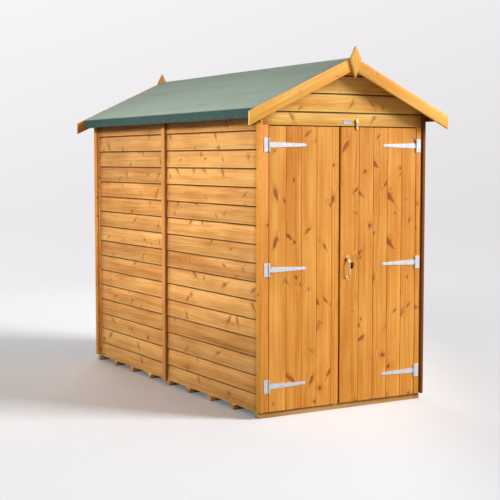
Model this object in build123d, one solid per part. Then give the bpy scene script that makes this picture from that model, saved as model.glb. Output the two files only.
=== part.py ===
"""Wooden overlap-clad garden shed with an apex roof and double doors.

Millimetres, +Z up, ground at Z = 0. The doors face -Y. The origin lies on the
ground at the middle of the box that holds the whole shed.
"""
from build123d import *
from math import atan2, cos, radians, sin, tan
import os

# Footprint, measured over the corner strips
shed_width = 1200.0
shed_length = 2430.0

# Floor
joist_height = 30.0
joist_width = 44.0
joist_count = 9
floor_thickness = 12.0
floor_board_pitch = 106.0
floor_inset_side = 30.0
joist_inset_side = 6.0
floor_inset_end = 30.0

# Overlap cladding: each board tapers from its butt up to a thin edge
board_pitch = 110.0
board_butt = 12.0
board_thin = 5.0
cladding_bottom = 31.0

# Wall framing
frame_depth = 28.0
frame_width = 44.0
front_side_panel = 1210.0
panel_joint = 1.0
side_panel_studs = 4
back_wall_studs = 4

# Cover strips on the corners and on the joint between the side panels
strip_thickness = 18.0
strip_width = 45.0
strip_bottom = 37.0
joint_strip_bottom = 18.0

# Roof
roof_angle = 25.0
eave_above_doorway = 95.0
eave_overhang = 78.0
front_overhang = 60.0
rear_overhang = 34.0
roof_board = 11.0
felt = 3.0
felt_turn_down = 58.0
purlin_width = 44.0
purlin_depth = 28.0

# Barge boards and finials
barge_half_width = 715.0
barge_depth = 72.0
barge_thickness = 16.0
barge_rise = 2.0
barge_joint = 1.0
finial_above_ridge = 61.0
finial_below_ridge = 123.0
finial_widest_below_ridge = 10.0
finial_width = 75.0
finial_thickness = 16.0

# Doorway and doors
jamb_face = 45.0
door_bottom = 38.0
door_height = 1665.0
door_side_gap = 5.0
door_top_gap = 6.0
door_thickness = 12.0
meeting_centre = -38.0
meeting_gap = 18.0
door_board_face = 107.0
right_first_board = 131.0
left_first_board = 50.0
groove_width = 6.0
groove_depth = 3.0
ledge_thickness = 20.0
ledge_height = 70.0
ledge_end_gap = 28.0
brace_gap = 0.5
meeting_strip_thickness = 12.0
meeting_strip_width = 50.0
meeting_strip_clearance = 5.0
strip_above_floor = 8.0

# T-hinges
low_hinge_above_door_bottom = 150.0
middle_hinge_above_door_bottom = 834.0
high_hinge_below_door_top = 108.0
hinge_plate_height = 80.0
hinge_plate_width = 34.0
hinge_metal = 3.0
knuckle_radius = 5.0
hinge_pin_radius = 2.0
hinge_pin_clearance = 0.1
knuckle_height = 26.0
knuckle_gap = 1.0
strap_length = 257.0
strap_root = 32.0
strap_tip = 16.0

# Door furniture
handle_above_door_bottom = 822.0
handle_from_edge = 48.0
handle_length = 148.0
handle_reach = 30.0
handle_bar = 5.0
handle_grip_length = 80.0
handle_foot_length = 22.0
handle_foot_width = 18.0
handle_foot_metal = 3.0
keyhole_from_edge = 83.0
keyhole_above_door_bottom = 833.0
keyhole_width = 28.0
keyhole_length = 40.0
lock_width = 110.0
lock_height = 90.0
lock_depth = 22.0
lock_from_edge = 12.0
key_barrel_radius = 9.0
keep_width = 30.0
keep_height = 60.0
keep_wall = 4.0
keep_mouth_depth = 18.0
bolt_plate_length = 120.0
bolt_plate_width = 22.0
bolt_plate_metal = 2.0
bolt_rod_radius = 4.0
bolt_rod_clearance = 0.5
bolt_tip_reach = 6.0
bolt_staple_length = 12.0
bolt_staple_width = 14.0
bolt_staple_metal = 1.5
bolt_knob_radius = 3.0
bolt_knob_reach = 18.0
bolt_below_door_top = 4.0
bolt_above_strip_end = 4.0
button_from_meeting = 120.0
button_above_doorway = 12.0
button_length = 62.0
button_width = 16.0
button_metal = 5.0
button_door_clearance = 3.0
button_seat_gap = 0.3
button_screw_radius = 4.0

slope = tan(radians(roof_angle))
cladding_depth = board_butt
half_width = shed_width / 2 - strip_thickness
doorway_half_width = half_width - jamb_face
eave_half_width = half_width + eave_overhang
floor_top = joist_height + floor_thickness

# Heights that follow from the doors
door_top = door_bottom + door_height
doorway_top = door_top + door_top_gap
ridge_height = doorway_top + eave_above_doorway + slope * eave_half_width
hinge_heights = (door_bottom + low_hinge_above_door_bottom,
                 door_bottom + middle_hinge_above_door_bottom,
                 door_top - high_hinge_below_door_top)
handle_height = door_bottom + handle_above_door_bottom
keyhole_height = door_bottom + keyhole_above_door_bottom
button_x = meeting_centre + button_from_meeting
button_pivot_height = doorway_top + button_above_doorway

# Stations along the length, from the front face of the corner strips back
finial_reach_front = front_overhang + barge_thickness + finial_thickness
finial_reach_rear = rear_overhang + barge_thickness + finial_thickness
front_face = (finial_reach_front - finial_reach_rear - shed_length) / 2
back_face = front_face + shed_length
front_cladding_y = front_face + board_butt
back_cladding_y = back_face - board_butt
front_frame_y = front_cladding_y + cladding_depth
back_frame_y = back_cladding_y - cladding_depth
side_panels_start = front_frame_y + frame_depth
side_panels_end = back_frame_y - frame_depth
side_joint_y = side_panels_start + front_side_panel
roof_start = front_face - front_overhang
roof_end = back_face + rear_overhang
frame_half_width = half_width - cladding_depth


def plumb(thickness):
    """Vertical size of a layer that has this thickness on the slope."""
    return thickness / cos(radians(roof_angle))


def felt_top_at(x):
    return ridge_height - slope * abs(x)


def board_top_at(x):
    return felt_top_at(x) - plumb(felt)


def roof_under_at(x):
    return felt_top_at(x) - plumb(felt + roof_board)


def box(x0, x1, y0, y1, z0, z1):
    """A plain bar between two corners."""
    size = (x1 - x0, y1 - y0, z1 - z0)
    centre = ((x0 + x1) / 2, (y0 + y1) / 2, (z0 + z1) / 2)
    return Pos(*centre) * Box(*size)


def plate_xz(points, y0, y1):
    """A flat piece with this outline seen from the front."""
    face = make_face(Polyline(*[(x, y0, z) for x, z in points], close=True))
    return extrude(face, amount=y1 - y0, dir=(0, 1, 0))


def plate_yz(points, x0, x1):
    """A flat piece with this outline seen from the side."""
    face = make_face(Polyline(*[(x0, y, z) for y, z in points], close=True))
    return extrude(face, amount=x1 - x0, dir=(1, 0, 0))


def mirror_x(shape):
    return mirror(shape, about=Plane.YZ)


def save(name, *solids):
    """Write one node, made of solids that don't touch each other."""
    pieces = [solid for shape in solids for solid in shape.solids()]
    body = pieces[0] if len(pieces) == 1 else Compound(children=pieces)
    export_step(body, f"parts/{name}.step")


def lap_profile(z_bottom, z_top):
    """Outer outline of lapped boards, as (depth from the back, height)."""
    points = []
    index = int((z_bottom - cladding_bottom) // board_pitch)
    low = z_bottom
    while low < z_top:
        butt_z = cladding_bottom + index * board_pitch
        high = min(butt_z + board_pitch, z_top)
        taper = (board_butt - board_thin) / board_pitch
        points.append((board_butt - taper * (low - butt_z), low))
        points.append((board_butt - taper * (high - butt_z), high))
        low = high
        index += 1
    return [(0.0, z_bottom)] + points + [(0.0, z_top)]


def side_cladding(y0, y1):
    """Lapped boards of one left-hand wall panel."""
    top = roof_under_at(half_width)
    outline = [(-(frame_half_width + d), z) for d, z in lap_profile(cladding_bottom, top)]
    return plate_xz(outline, y0, y1)


def gable_cladding(z_bottom, y_back, outward):
    """Lapped boards across the full width, cut to the roof above.

    outward is -1 for the front wall and 1 for the back wall.
    """
    outline = [(y_back + outward * d, z) for d, z in lap_profile(z_bottom, ridge_height)]
    boards = plate_yz(outline, -half_width, half_width)
    corner = (half_width, roof_under_at(half_width))
    gable = [(-half_width, z_bottom), (half_width, z_bottom), corner,
             (0.0, roof_under_at(0.0)), (-corner[0], corner[1])]
    reach = 2 * board_butt
    return boards & plate_xz(gable, y_back - reach, y_back + reach)


# Floor
floor_x = half_width + strip_thickness - floor_inset_side
joist_x = half_width + strip_thickness - joist_inset_side
floor_y0 = front_face + floor_inset_end
floor_y1 = back_face - floor_inset_end


def floor_joists():
    joists = []
    pitch = (floor_y1 - floor_y0 - joist_width) / (joist_count - 1)
    for index in range(joist_count):
        y = floor_y0 + index * pitch
        joists.append(box(-joist_x, joist_x, y, y + joist_width, 0, joist_height))
    return joists


def floor_boards():
    deck = box(-floor_x, floor_x, floor_y0, floor_y1, joist_height, floor_top)
    count = int(2 * floor_x // floor_board_pitch)
    start = -count * floor_board_pitch / 2
    for index in range(count + 1):
        x = start + index * floor_board_pitch
        half = groove_width / 2
        points = [(x - half, floor_top), (x, floor_top - groove_depth), (x + half, floor_top)]
        deck -= plate_xz(points, floor_y0, floor_y1)
    return deck


# Side walls
side_panels = ((side_panels_start, side_joint_y - panel_joint / 2),
               (side_joint_y + panel_joint / 2, side_panels_end))
side_rail_top = roof_under_at(frame_half_width)


def side_studs():
    studs = []
    for y0, y1 in side_panels:
        pitch = (y1 - y0 - frame_width) / (side_panel_studs - 1)
        for index in range(side_panel_studs):
            y = y0 + index * pitch
            studs.append(box(-frame_half_width, -frame_half_width + frame_depth,
                             y, y + frame_width,
                             floor_top + frame_width, side_rail_top - frame_width))
    return studs


def side_rails():
    rails = []
    for y0, y1 in side_panels:
        for z in (floor_top, side_rail_top - frame_width):
            rails.append(box(-frame_half_width, -frame_half_width + frame_depth,
                             y0, y1, z, z + frame_width))
    return rails


# Front and back framing
rafter_drop = plumb(frame_width)
end_stud_top = roof_under_at(half_width) - rafter_drop


def gable_rafters(y0, y1):
    """The sloping pair of bars along the top of an end wall."""
    left = plate_xz([(-half_width, roof_under_at(half_width)),
                     (-half_width, end_stud_top),
                     (-panel_joint / 2, roof_under_at(panel_joint / 2) - rafter_drop),
                     (-panel_joint / 2, roof_under_at(panel_joint / 2))], y0, y1)
    return [left, mirror_x(left)]


def end_studs(y0, y1, inner_x):
    stud = box(inner_x, half_width, y0, y1, floor_top, end_stud_top)
    return [stud, mirror_x(stud)]


def king_stud(y0, y1):
    """Short upright over the tie rail, up to the rafters."""
    half = frame_width / 2
    peak = roof_under_at(0.0) - rafter_drop
    shoulder = roof_under_at(half) - rafter_drop
    base = doorway_top + frame_width
    return plate_xz([(-half, base), (half, base), (half, shoulder),
                     (0.0, peak), (-half, shoulder)], y0, y1)


def back_rails(y0, y1):
    reach = half_width - frame_width
    rails = [box(-reach, reach, y0, y1, floor_top, floor_top + frame_width)]
    rails.append(box(-reach, reach, y0, y1, doorway_top, doorway_top + frame_width))
    return rails


def back_middle_studs(y0, y1):
    studs = []
    reach = half_width - frame_width
    pitch = 2 * (reach + frame_width / 2) / (back_wall_studs - 1)
    for index in range(1, back_wall_studs - 1):
        x = -reach - frame_width / 2 + index * pitch
        studs.append(box(x - frame_width / 2, x + frame_width / 2, y0, y1,
                         floor_top + frame_width, doorway_top))
    return studs


# Roof, made for the left-hand slope and mirrored
def sloping_layer(x0, x1, top_at, thickness, y0, y1):
    """A layer on the slope between two distances from the ridge."""
    depth = plumb(thickness)
    return plate_xz([(-x0, top_at(x0)), (-x1, top_at(x1)),
                     (-x1, top_at(x1) - depth), (-x0, top_at(x0) - depth)], y0, y1)


def roof_boards():
    return sloping_layer(0.0, eave_half_width - felt, board_top_at, roof_board,
                         roof_start, roof_end)


def roof_felt():
    """Felt on the slope with its edge folded down over the eave."""
    inner = eave_half_width - felt
    bottom = felt_top_at(eave_half_width) - felt_turn_down
    return plate_xz([(0.0, ridge_height), (-eave_half_width, felt_top_at(eave_half_width)),
                     (-eave_half_width, bottom), (-inner, bottom),
                     (-inner, board_top_at(inner)), (0.0, board_top_at(0.0))],
                    roof_start, roof_end)


def eave_batten():
    outer = eave_half_width - felt
    inner = outer - purlin_depth
    bottom = felt_top_at(eave_half_width) - felt_turn_down
    return plate_xz([(-outer, roof_under_at(outer)), (-outer, bottom),
                     (-inner, bottom), (-inner, roof_under_at(inner))],
                    roof_start, roof_end)


def purlins():
    """Bars under the boards between the end walls: at the ridge and halfway down."""
    bars = []
    y0 = front_frame_y + frame_depth
    y1 = back_frame_y - frame_depth
    width = purlin_width * cos(radians(roof_angle))
    for near in (panel_joint, frame_half_width / 2):
        bars.append(sloping_layer(near, near + width, roof_under_at, purlin_depth, y0, y1))
    return bars


barge_drop = plumb(barge_depth)


def barge_boards(y0, y1):
    """The pair of boards on one gable end, meeting behind the finial."""
    half_joint = barge_joint / 2
    peak = ridge_height + barge_rise - slope * half_joint
    end = ridge_height + barge_rise - slope * barge_half_width
    left = plate_xz([(-half_joint, peak), (-barge_half_width, end),
                     (-barge_half_width, end - barge_drop),
                     (-half_joint, peak - barge_drop)], y0, y1)
    return [left, mirror_x(left)]


def finial(y0, y1):
    half = finial_width / 2
    widest = ridge_height - finial_widest_below_ridge
    return plate_xz([(0.0, ridge_height + finial_above_ridge), (half, widest),
                     (0.0, ridge_height - finial_below_ridge), (-half, widest)], y0, y1)


# Cover strips
def corner_strip(y0):
    """Left-hand corner strip from near the ground to the roof boards."""
    x_out = half_width + strip_thickness
    top_out = roof_under_at(x_out)
    return box(-x_out, -half_width, y0, y0 + strip_width, strip_bottom, top_out)


def joint_strip():
    x_out = half_width + strip_thickness
    y0 = side_joint_y - strip_width / 2
    return box(-x_out, -half_width, y0, y0 + strip_width, joint_strip_bottom,
               roof_under_at(x_out))


# Doors
door_y0 = front_cladding_y
door_y1 = door_y0 + door_thickness
hinge_edge = doorway_half_width - door_side_gap
left_edge = meeting_centre - meeting_gap / 2
right_edge = meeting_centre + meeting_gap / 2
hinge_x = doorway_half_width - door_side_gap / 2
hinge_y = front_cladding_y - knuckle_radius


def door_boards(x0, x1, first_groove, step):
    """Tongued boards with a V groove on both faces at each joint."""
    slab = box(x0, x1, door_y0, door_y1, door_bottom, door_top)
    x = first_groove
    half = groove_width / 2
    while x0 + groove_width < x < x1 - groove_width:
        for face_y, tip_y in ((door_y0, door_y0 + groove_depth),
                              (door_y1, door_y1 - groove_depth)):
            face = make_face(Polyline((x - half, face_y, door_bottom),
                                      (x, tip_y, door_bottom),
                                      (x + half, face_y, door_bottom), close=True))
            slab -= extrude(face, amount=door_top - door_bottom, dir=(0, 0, 1))
        x += step
    return slab


def keyhole_cut():
    x = right_edge + keyhole_from_edge
    ring = SlotOverall(keyhole_length, keyhole_width, rotation=90)
    tool = extrude(Plane.XZ * ring, amount=door_thickness, both=True)
    return Pos(x, (door_y0 + door_y1) / 2, keyhole_height) * tool


def ledges(x0, x1, middle_x0):
    """Three rails on the back of a door, level with the hinges."""
    bars = []
    for z, start in zip(hinge_heights, (x0, middle_x0, x0)):
        bars.append(box(start, x1, door_y1, door_y1 + ledge_thickness,
                        z - ledge_height / 2, z + ledge_height / 2))
    return bars


def braces(x_free, x_hinge):
    """Two slanting bars, each rising from the hinge side to the free side."""
    bars = []
    run = abs(x_free - x_hinge)
    for low, high in zip(hinge_heights, hinge_heights[1:]):
        z0 = low + ledge_height / 2 + brace_gap
        z1 = high - ledge_height / 2 - brace_gap
        wide = ledge_height / sin(atan2(z1 - z0, run - ledge_height))
        lean = wide if x_free > x_hinge else -wide
        bars.append(plate_xz([(x_hinge, z0), (x_hinge + lean, z0),
                              (x_free, z1), (x_free - lean, z1)],
                             door_y1, door_y1 + ledge_thickness))
    return bars


# T-hinges, made for the left-hand side and mirrored
def barrel(z0, z1, radius):
    tube = extrude(Circle(radius), amount=z1 - z0)
    return Pos(-hinge_x, hinge_y, z0) * tube


def hinge_plate(z):
    """Fixed leaf with the upper and lower knuckles and the pin."""
    low = z - hinge_plate_height / 2
    high = z + hinge_plate_height / 2
    leaf_y = front_cladding_y
    leaf = box(-hinge_x - hinge_plate_width, -hinge_x - knuckle_radius + hinge_metal,
               leaf_y - hinge_metal, leaf_y, low, high)
    body = leaf + barrel(z + knuckle_height / 2, high, knuckle_radius)
    body += barrel(low, z - knuckle_height / 2, knuckle_radius)
    notch = box(-hinge_x - knuckle_radius - knuckle_gap, -hinge_x + knuckle_radius,
                leaf_y - 2 * knuckle_radius, leaf_y,
                z - knuckle_height / 2, z + knuckle_height / 2)
    return (body - notch) + barrel(low, high, hinge_pin_radius)


def hinge_strap(z):
    """Long tapering leaf on the door with the middle knuckle."""
    knuckle = barrel(z - knuckle_height / 2 + knuckle_gap, z + knuckle_height / 2 - knuckle_gap,
                     knuckle_radius)
    start = -hinge_x + knuckle_radius - hinge_metal
    end = -hinge_x + strap_length
    root = strap_root / 2
    tip = strap_tip / 2
    neck = knuckle_height / 2 - knuckle_gap
    shoulder = -hinge_edge + strap_root / 2
    outline = [(start, z - neck), (-hinge_edge + knuckle_radius, z - neck),
               (shoulder, z - root), (end - tip, z - tip), (end, z),
               (end - tip, z + tip), (shoulder, z + root),
               (-hinge_edge + knuckle_radius, z + neck), (start, z + neck)]
    leaf = plate_xz(outline, front_cladding_y - hinge_metal, front_cladding_y)
    bore = barrel(z - knuckle_height, z + knuckle_height, hinge_pin_radius + hinge_pin_clearance)
    return (leaf + knuckle) - bore


# Handle, lock and turn button
def pull_handle():
    """Bowed bar between two screw-down feet."""
    x = right_edge + handle_from_edge
    half = handle_length / 2
    seat = door_y0 - handle_foot_metal
    reach = door_y0 - handle_reach + handle_bar
    foot_centre = half - handle_foot_length / 2
    shoulder = handle_grip_length / 2
    path = FilletPolyline((x, seat, handle_height - foot_centre),
                          (x, reach, handle_height - shoulder),
                          (x, reach, handle_height + shoulder),
                          (x, seat, handle_height + foot_centre), radius=3 * handle_bar)
    start = Plane(origin=path @ 0, z_dir=path % 0)
    bow = sweep(start * Circle(handle_bar), path=path)
    for side in (-1, 1):
        z = handle_height + side * foot_centre
        bow += box(x - handle_foot_width / 2, x + handle_foot_width / 2, seat, door_y0,
                   z - handle_foot_length / 2, z + handle_foot_length / 2)
    behind = box(x - handle_foot_width, x + handle_foot_width, door_y0, door_y1,
                 handle_height - half, handle_height + half)
    return bow - behind


def rim_lock():
    """Lock case on the back of the door with its key barrel in the hole."""
    x0 = right_edge + lock_from_edge
    case = box(x0, x0 + lock_width, door_y1, door_y1 + lock_depth,
               keyhole_height - lock_height / 2, keyhole_height + lock_height / 2)
    x = right_edge + keyhole_from_edge
    key_barrel = extrude(Plane.XZ * Circle(key_barrel_radius), amount=door_thickness / 2)
    return case + Pos(x, door_y1, keyhole_height) * key_barrel


def header_face_y(z):
    """Where the overlap boards' face lies at a height above the doors."""
    above = (z - cladding_bottom) % board_pitch
    return front_frame_y - board_butt + (board_butt - board_thin) * above / board_pitch


def turn_button():
    """Button that turns on its screw; its lower end laps over the door."""
    back = door_y0 - button_door_clearance
    front = back - button_metal
    bar = extrude(Plane.XZ * SlotOverall(button_length, button_width, rotation=90),
                  amount=button_metal)
    bar = Pos(button_x, back, button_pivot_height) * bar
    seat = header_face_y(button_pivot_height + button_width / 2) - button_seat_gap
    high = header_face_y(button_pivot_height - button_width / 2) - button_seat_gap
    boss = extrude(Plane.XZ * Circle(button_width / 2), amount=min(seat, high) - back)
    boss = Pos(button_x, min(seat, high), button_pivot_height) * boss
    head = extrude(Plane.XZ * Circle(button_screw_radius), amount=button_metal / 2)
    return bar + boss + Pos(button_x, front, button_pivot_height) * head


def jamb_boards():
    board = box(doorway_half_width, half_width, front_cladding_y,
                front_cladding_y + cladding_depth, door_bottom, doorway_top)
    return [board, mirror_x(board)]


strip_end = right_edge - meeting_strip_clearance
strip_start = strip_end - meeting_strip_width
strip_back = door_y1 + meeting_strip_thickness


def meeting_strip():
    """Strip on the back of the left door that fills the gap to the right one."""
    return box(strip_start, strip_end, door_y1, strip_back,
               floor_top + strip_above_floor, door_top)


def lock_keep():
    """Keep on the meeting strip, with a mouth for the bolt of the lock."""
    y1 = door_y1 + lock_depth
    half = keep_height / 2
    case = box(strip_end - keep_width, strip_end, strip_back, y1,
               keyhole_height - half, keyhole_height + half)
    mouth = box(strip_end - keep_mouth_depth, strip_end, strip_back, y1 - keep_wall,
                keyhole_height - half + 2 * keep_wall, keyhole_height + half - 2 * keep_wall)
    return case - mouth


def door_bolt(tip_z, way):
    """Tower bolt, drawn back, on the meeting strip.

    way is 1 for a bolt that shoots upwards and -1 for one that shoots down.
    """
    x = (strip_start + strip_end) / 2
    rod_y = strip_back + bolt_plate_metal + bolt_rod_clearance + bolt_rod_radius
    near = tip_z - way * bolt_tip_reach
    far = near - way * bolt_plate_length
    bolt = box(x - bolt_plate_width / 2, x + bolt_plate_width / 2,
               strip_back, strip_back + bolt_plate_metal, min(near, far), max(near, far))
    rod = extrude(Circle(bolt_rod_radius), amount=abs(tip_z - far) - bolt_staple_length / 2)
    bolt += Pos(x, rod_y, min(tip_z, far + way * bolt_staple_length / 2)) * rod
    last = bolt_plate_length - bolt_staple_length
    for run in (0.0, last / 2, last):
        z = near - way * (run + bolt_staple_length / 2)
        bolt += box(x - bolt_staple_width / 2, x + bolt_staple_width / 2, strip_back,
                    rod_y + bolt_rod_radius + bolt_staple_metal,
                    z - bolt_staple_length / 2, z + bolt_staple_length / 2)
    knob = extrude(Circle(bolt_knob_radius), amount=bolt_knob_reach)
    knob_z = far + way * (bolt_staple_length + bolt_rod_radius)
    return bolt + Pos(x, rod_y - bolt_knob_radius / 2, knob_z) * Rot(-90, 0, 0) * knob


os.makedirs("parts", exist_ok=True)

save("floor_joists", *floor_joists())
save("floor_boards", floor_boards())

for place, (y0, y1) in zip(("front", "rear"), side_panels):
    cladding = side_cladding(y0, y1)
    save(f"left_wall_{place}_cladding", cladding)
    save(f"right_wall_{place}_cladding", mirror_x(cladding))
save("left_wall_studs", *side_studs())
save("right_wall_studs", *[mirror_x(stud) for stud in side_studs()])
save("left_wall_rails", *side_rails())
save("right_wall_rails", *[mirror_x(rail) for rail in side_rails()])

back_y0 = back_frame_y - frame_depth
save("back_wall_cladding", gable_cladding(cladding_bottom, back_frame_y, 1))
save("back_wall_rails", *back_rails(back_y0, back_frame_y))
save("back_wall_studs", *end_studs(back_y0, back_frame_y, half_width - frame_width),
     *back_middle_studs(back_y0, back_frame_y), king_stud(back_y0, back_frame_y))
save("back_gable_rafters", *gable_rafters(back_y0, back_frame_y))

front_y1 = front_frame_y + frame_depth
save("front_gable_cladding", gable_cladding(doorway_top, front_frame_y, -1))
save("front_jamb_boards", *jamb_boards())
save("front_wall_studs", *end_studs(front_frame_y, front_y1, doorway_half_width),
     king_stud(front_frame_y, front_y1))
save("door_header", box(-doorway_half_width, doorway_half_width, front_frame_y, front_y1,
                        doorway_top, doorway_top + frame_width))
save("front_gable_rafters", *gable_rafters(front_frame_y, front_y1))

save("left_roof_boards", roof_boards())
save("right_roof_boards", mirror_x(roof_boards()))
save("left_roof_felt", roof_felt())
save("right_roof_felt", mirror_x(roof_felt()))
save("eave_battens", eave_batten(), mirror_x(eave_batten()))
save("roof_purlins", *purlins(), *[mirror_x(bar) for bar in purlins()])

save("front_barge_boards", *barge_boards(roof_start - barge_thickness, roof_start))
save("rear_barge_boards", *barge_boards(roof_end, roof_end + barge_thickness))
front_finial_y = roof_start - barge_thickness
rear_finial_y = roof_end + barge_thickness
save("front_finial", finial(front_finial_y - finial_thickness, front_finial_y))
save("rear_finial", finial(rear_finial_y, rear_finial_y + finial_thickness))

front_strip = corner_strip(front_face)
rear_strip = corner_strip(back_face - strip_width)
save("front_corner_strips", front_strip, mirror_x(front_strip))
save("rear_corner_strips", rear_strip, mirror_x(rear_strip))
save("side_joint_strips", joint_strip(), mirror_x(joint_strip()))

plates = [hinge_plate(z) for z in hinge_heights]
straps = [hinge_strap(z) for z in hinge_heights]
save("hinge_plates", *plates, *[mirror_x(plate) for plate in plates])
save("left_door_hinge_straps", *straps)
save("right_door_hinge_straps", *[mirror_x(strap) for strap in straps])

lock_end = right_edge + lock_from_edge + lock_width
save("left_door_boards", door_boards(-hinge_edge, left_edge,
                                     left_edge - left_first_board, -door_board_face))
left_ledge_start = -hinge_edge + ledge_end_gap
left_ledge_end = strip_start - brace_gap
save("left_door_framing",
     *ledges(left_ledge_start, left_ledge_end, left_ledge_start),
     *braces(left_ledge_end, left_ledge_start))
save("left_door_meeting_strip", meeting_strip())
save("right_door_boards", door_boards(right_edge, hinge_edge,
                                      right_edge + right_first_board, door_board_face)
     - keyhole_cut())
right_ledge_start = right_edge + ledge_end_gap
right_ledge_end = hinge_edge - ledge_end_gap
save("right_door_framing",
     *ledges(right_ledge_start, right_ledge_end, lock_end),
     *braces(lock_end, right_ledge_end))
save("pull_handle", pull_handle())
save("rim_lock", rim_lock())
save("lock_keep", lock_keep())
save("door_bolts", door_bolt(door_top - bolt_below_door_top, 1),
     door_bolt(floor_top + strip_above_floor + bolt_above_strip_end, -1))
save("turn_button", turn_button())
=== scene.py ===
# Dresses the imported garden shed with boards, planks, felt, fixings and finishes.
from math import cos, pi, radians
import random

import bmesh
import bpy
from mathutils import Matrix, Vector
import numpy as np


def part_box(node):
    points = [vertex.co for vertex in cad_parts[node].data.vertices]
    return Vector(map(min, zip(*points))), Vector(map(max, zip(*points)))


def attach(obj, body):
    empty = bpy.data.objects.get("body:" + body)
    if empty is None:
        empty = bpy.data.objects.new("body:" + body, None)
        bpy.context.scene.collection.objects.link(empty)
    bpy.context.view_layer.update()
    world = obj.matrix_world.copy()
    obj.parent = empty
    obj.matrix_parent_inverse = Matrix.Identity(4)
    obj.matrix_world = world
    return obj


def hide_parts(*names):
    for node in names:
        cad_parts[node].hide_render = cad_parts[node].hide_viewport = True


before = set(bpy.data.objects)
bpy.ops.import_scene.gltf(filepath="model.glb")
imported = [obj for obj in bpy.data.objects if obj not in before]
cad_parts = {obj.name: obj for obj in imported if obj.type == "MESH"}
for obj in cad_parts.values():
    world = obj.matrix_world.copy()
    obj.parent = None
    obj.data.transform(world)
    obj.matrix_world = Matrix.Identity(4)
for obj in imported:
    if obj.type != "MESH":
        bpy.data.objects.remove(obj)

bl_info = {
    "name": "Overlap garden shed",
    "version": (1, 0, 0),
    "blender": (4, 5, 0),
    "location": "View3D > Sidebar > Shed",
    "description": "Dresses an apex garden shed with boards, felt, fixings and finishes",
    "category": "Object",
}

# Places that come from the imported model, in metres
SHELL = "shell"
LEFT_DOOR = "left_door"
RIGHT_DOOR = "right_door"
FELT_LOW, FELT_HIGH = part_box("left_roof_felt")
RIDGE = FELT_HIGH.z
EAVE = -FELT_LOW.x
WALL_LOW, WALL_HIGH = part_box("left_wall_front_cladding")
GABLE_LOW, GABLE_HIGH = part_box("front_gable_cladding")
ROOF_UNDER = GABLE_HIGH.z
SLOPE = (ROOF_UNDER - WALL_HIGH.z) / GABLE_HIGH.x
ROOF_ANGLE = np.arctan(SLOPE)

# Two points nearer than this are one, and places nearer than that lie on one plane
TOUCHING = 0.00001
LEVEL = 0.001


def srgb(red, green, blue):
    """A colour from 0 to 255 as the light values that a finish takes."""
    return tuple((part / 255) ** 2.2 for part in (red, green, blue))


class ShedBoardSizes(bpy.types.PropertyGroup):
    """Sizes of the boards that clad the walls, doors, floor and roof."""

    pitch: bpy.props.FloatProperty(
        name="Board pitch", description="Height that each overlap board shows",
        default=0.110, unit="LENGTH")
    butt: bpy.props.FloatProperty(
        name="Butt", description="How far the thick lower edge of a board stands out",
        default=0.012, unit="LENGTH")
    thin_edge: bpy.props.FloatProperty(
        name="Thin edge", description="How far the thin upper edge of a board stands out",
        default=0.005, unit="LENGTH")
    overlap: bpy.props.FloatProperty(
        name="Overlap", description="How far a board reaches up behind the next one",
        default=0.010, unit="LENGTH")
    clearance: bpy.props.FloatProperty(
        name="Clearance", description="Gap between two boards where they lap",
        default=0.0006, unit="LENGTH")
    waver: bpy.props.FloatProperty(
        name="Waver", description="How far a sawn board strays from a straight line",
        default=0.0009, unit="LENGTH")
    station: bpy.props.FloatProperty(
        name="Station", description="Spacing of the places where a board strays",
        default=0.095, unit="LENGTH")
    eased_edge: bpy.props.FloatProperty(
        name="Eased edge", description="Radius on the edges of sawn and planed wood",
        default=0.0014, unit="LENGTH")
    groove: bpy.props.FloatProperty(
        name="Groove", description="Chamfer beside each joint of the tongued planks",
        default=0.003, unit="LENGTH")
    joint: bpy.props.FloatProperty(
        name="Joint", description="Gap between two tongued planks",
        default=0.0003, unit="LENGTH")
    door_face: bpy.props.FloatProperty(
        name="Door plank", description="Width that each door plank shows",
        default=0.107, unit="LENGTH")
    left_first: bpy.props.FloatProperty(
        name="Left first plank", description="Width of the left door's plank at the meeting",
        default=0.050, unit="LENGTH")
    right_first: bpy.props.FloatProperty(
        name="Right first plank", description="Width of the right door's plank at the meeting",
        default=0.131, unit="LENGTH")
    floor_face: bpy.props.FloatProperty(
        name="Floor plank", description="Width that each floor plank shows",
        default=0.106, unit="LENGTH")
    roof_face: bpy.props.FloatProperty(
        name="Roof plank", description="Width that each roof plank shows",
        default=0.096, unit="LENGTH")
    keyhole_width: bpy.props.FloatProperty(
        name="Keyhole width", description="Width of the hole in front of the lock",
        default=0.028, unit="LENGTH")
    keyhole_length: bpy.props.FloatProperty(
        name="Keyhole length", description="Height of the hole in front of the lock",
        default=0.040, unit="LENGTH")
    studs_per_panel: bpy.props.IntProperty(
        name="Studs per panel", description="Uprights that each side panel is nailed to",
        default=4, min=2)
    back_studs: bpy.props.IntProperty(
        name="Back studs", description="Uprights that the back wall is nailed to",
        default=4, min=2)
    gable_studs: bpy.props.IntProperty(
        name="Gable studs", description="Uprights that the front gable is nailed to",
        default=3, min=2)
    stud_width: bpy.props.FloatProperty(
        name="Stud width", description="Width of an upright behind the boards",
        default=0.044, unit="LENGTH")


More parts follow.
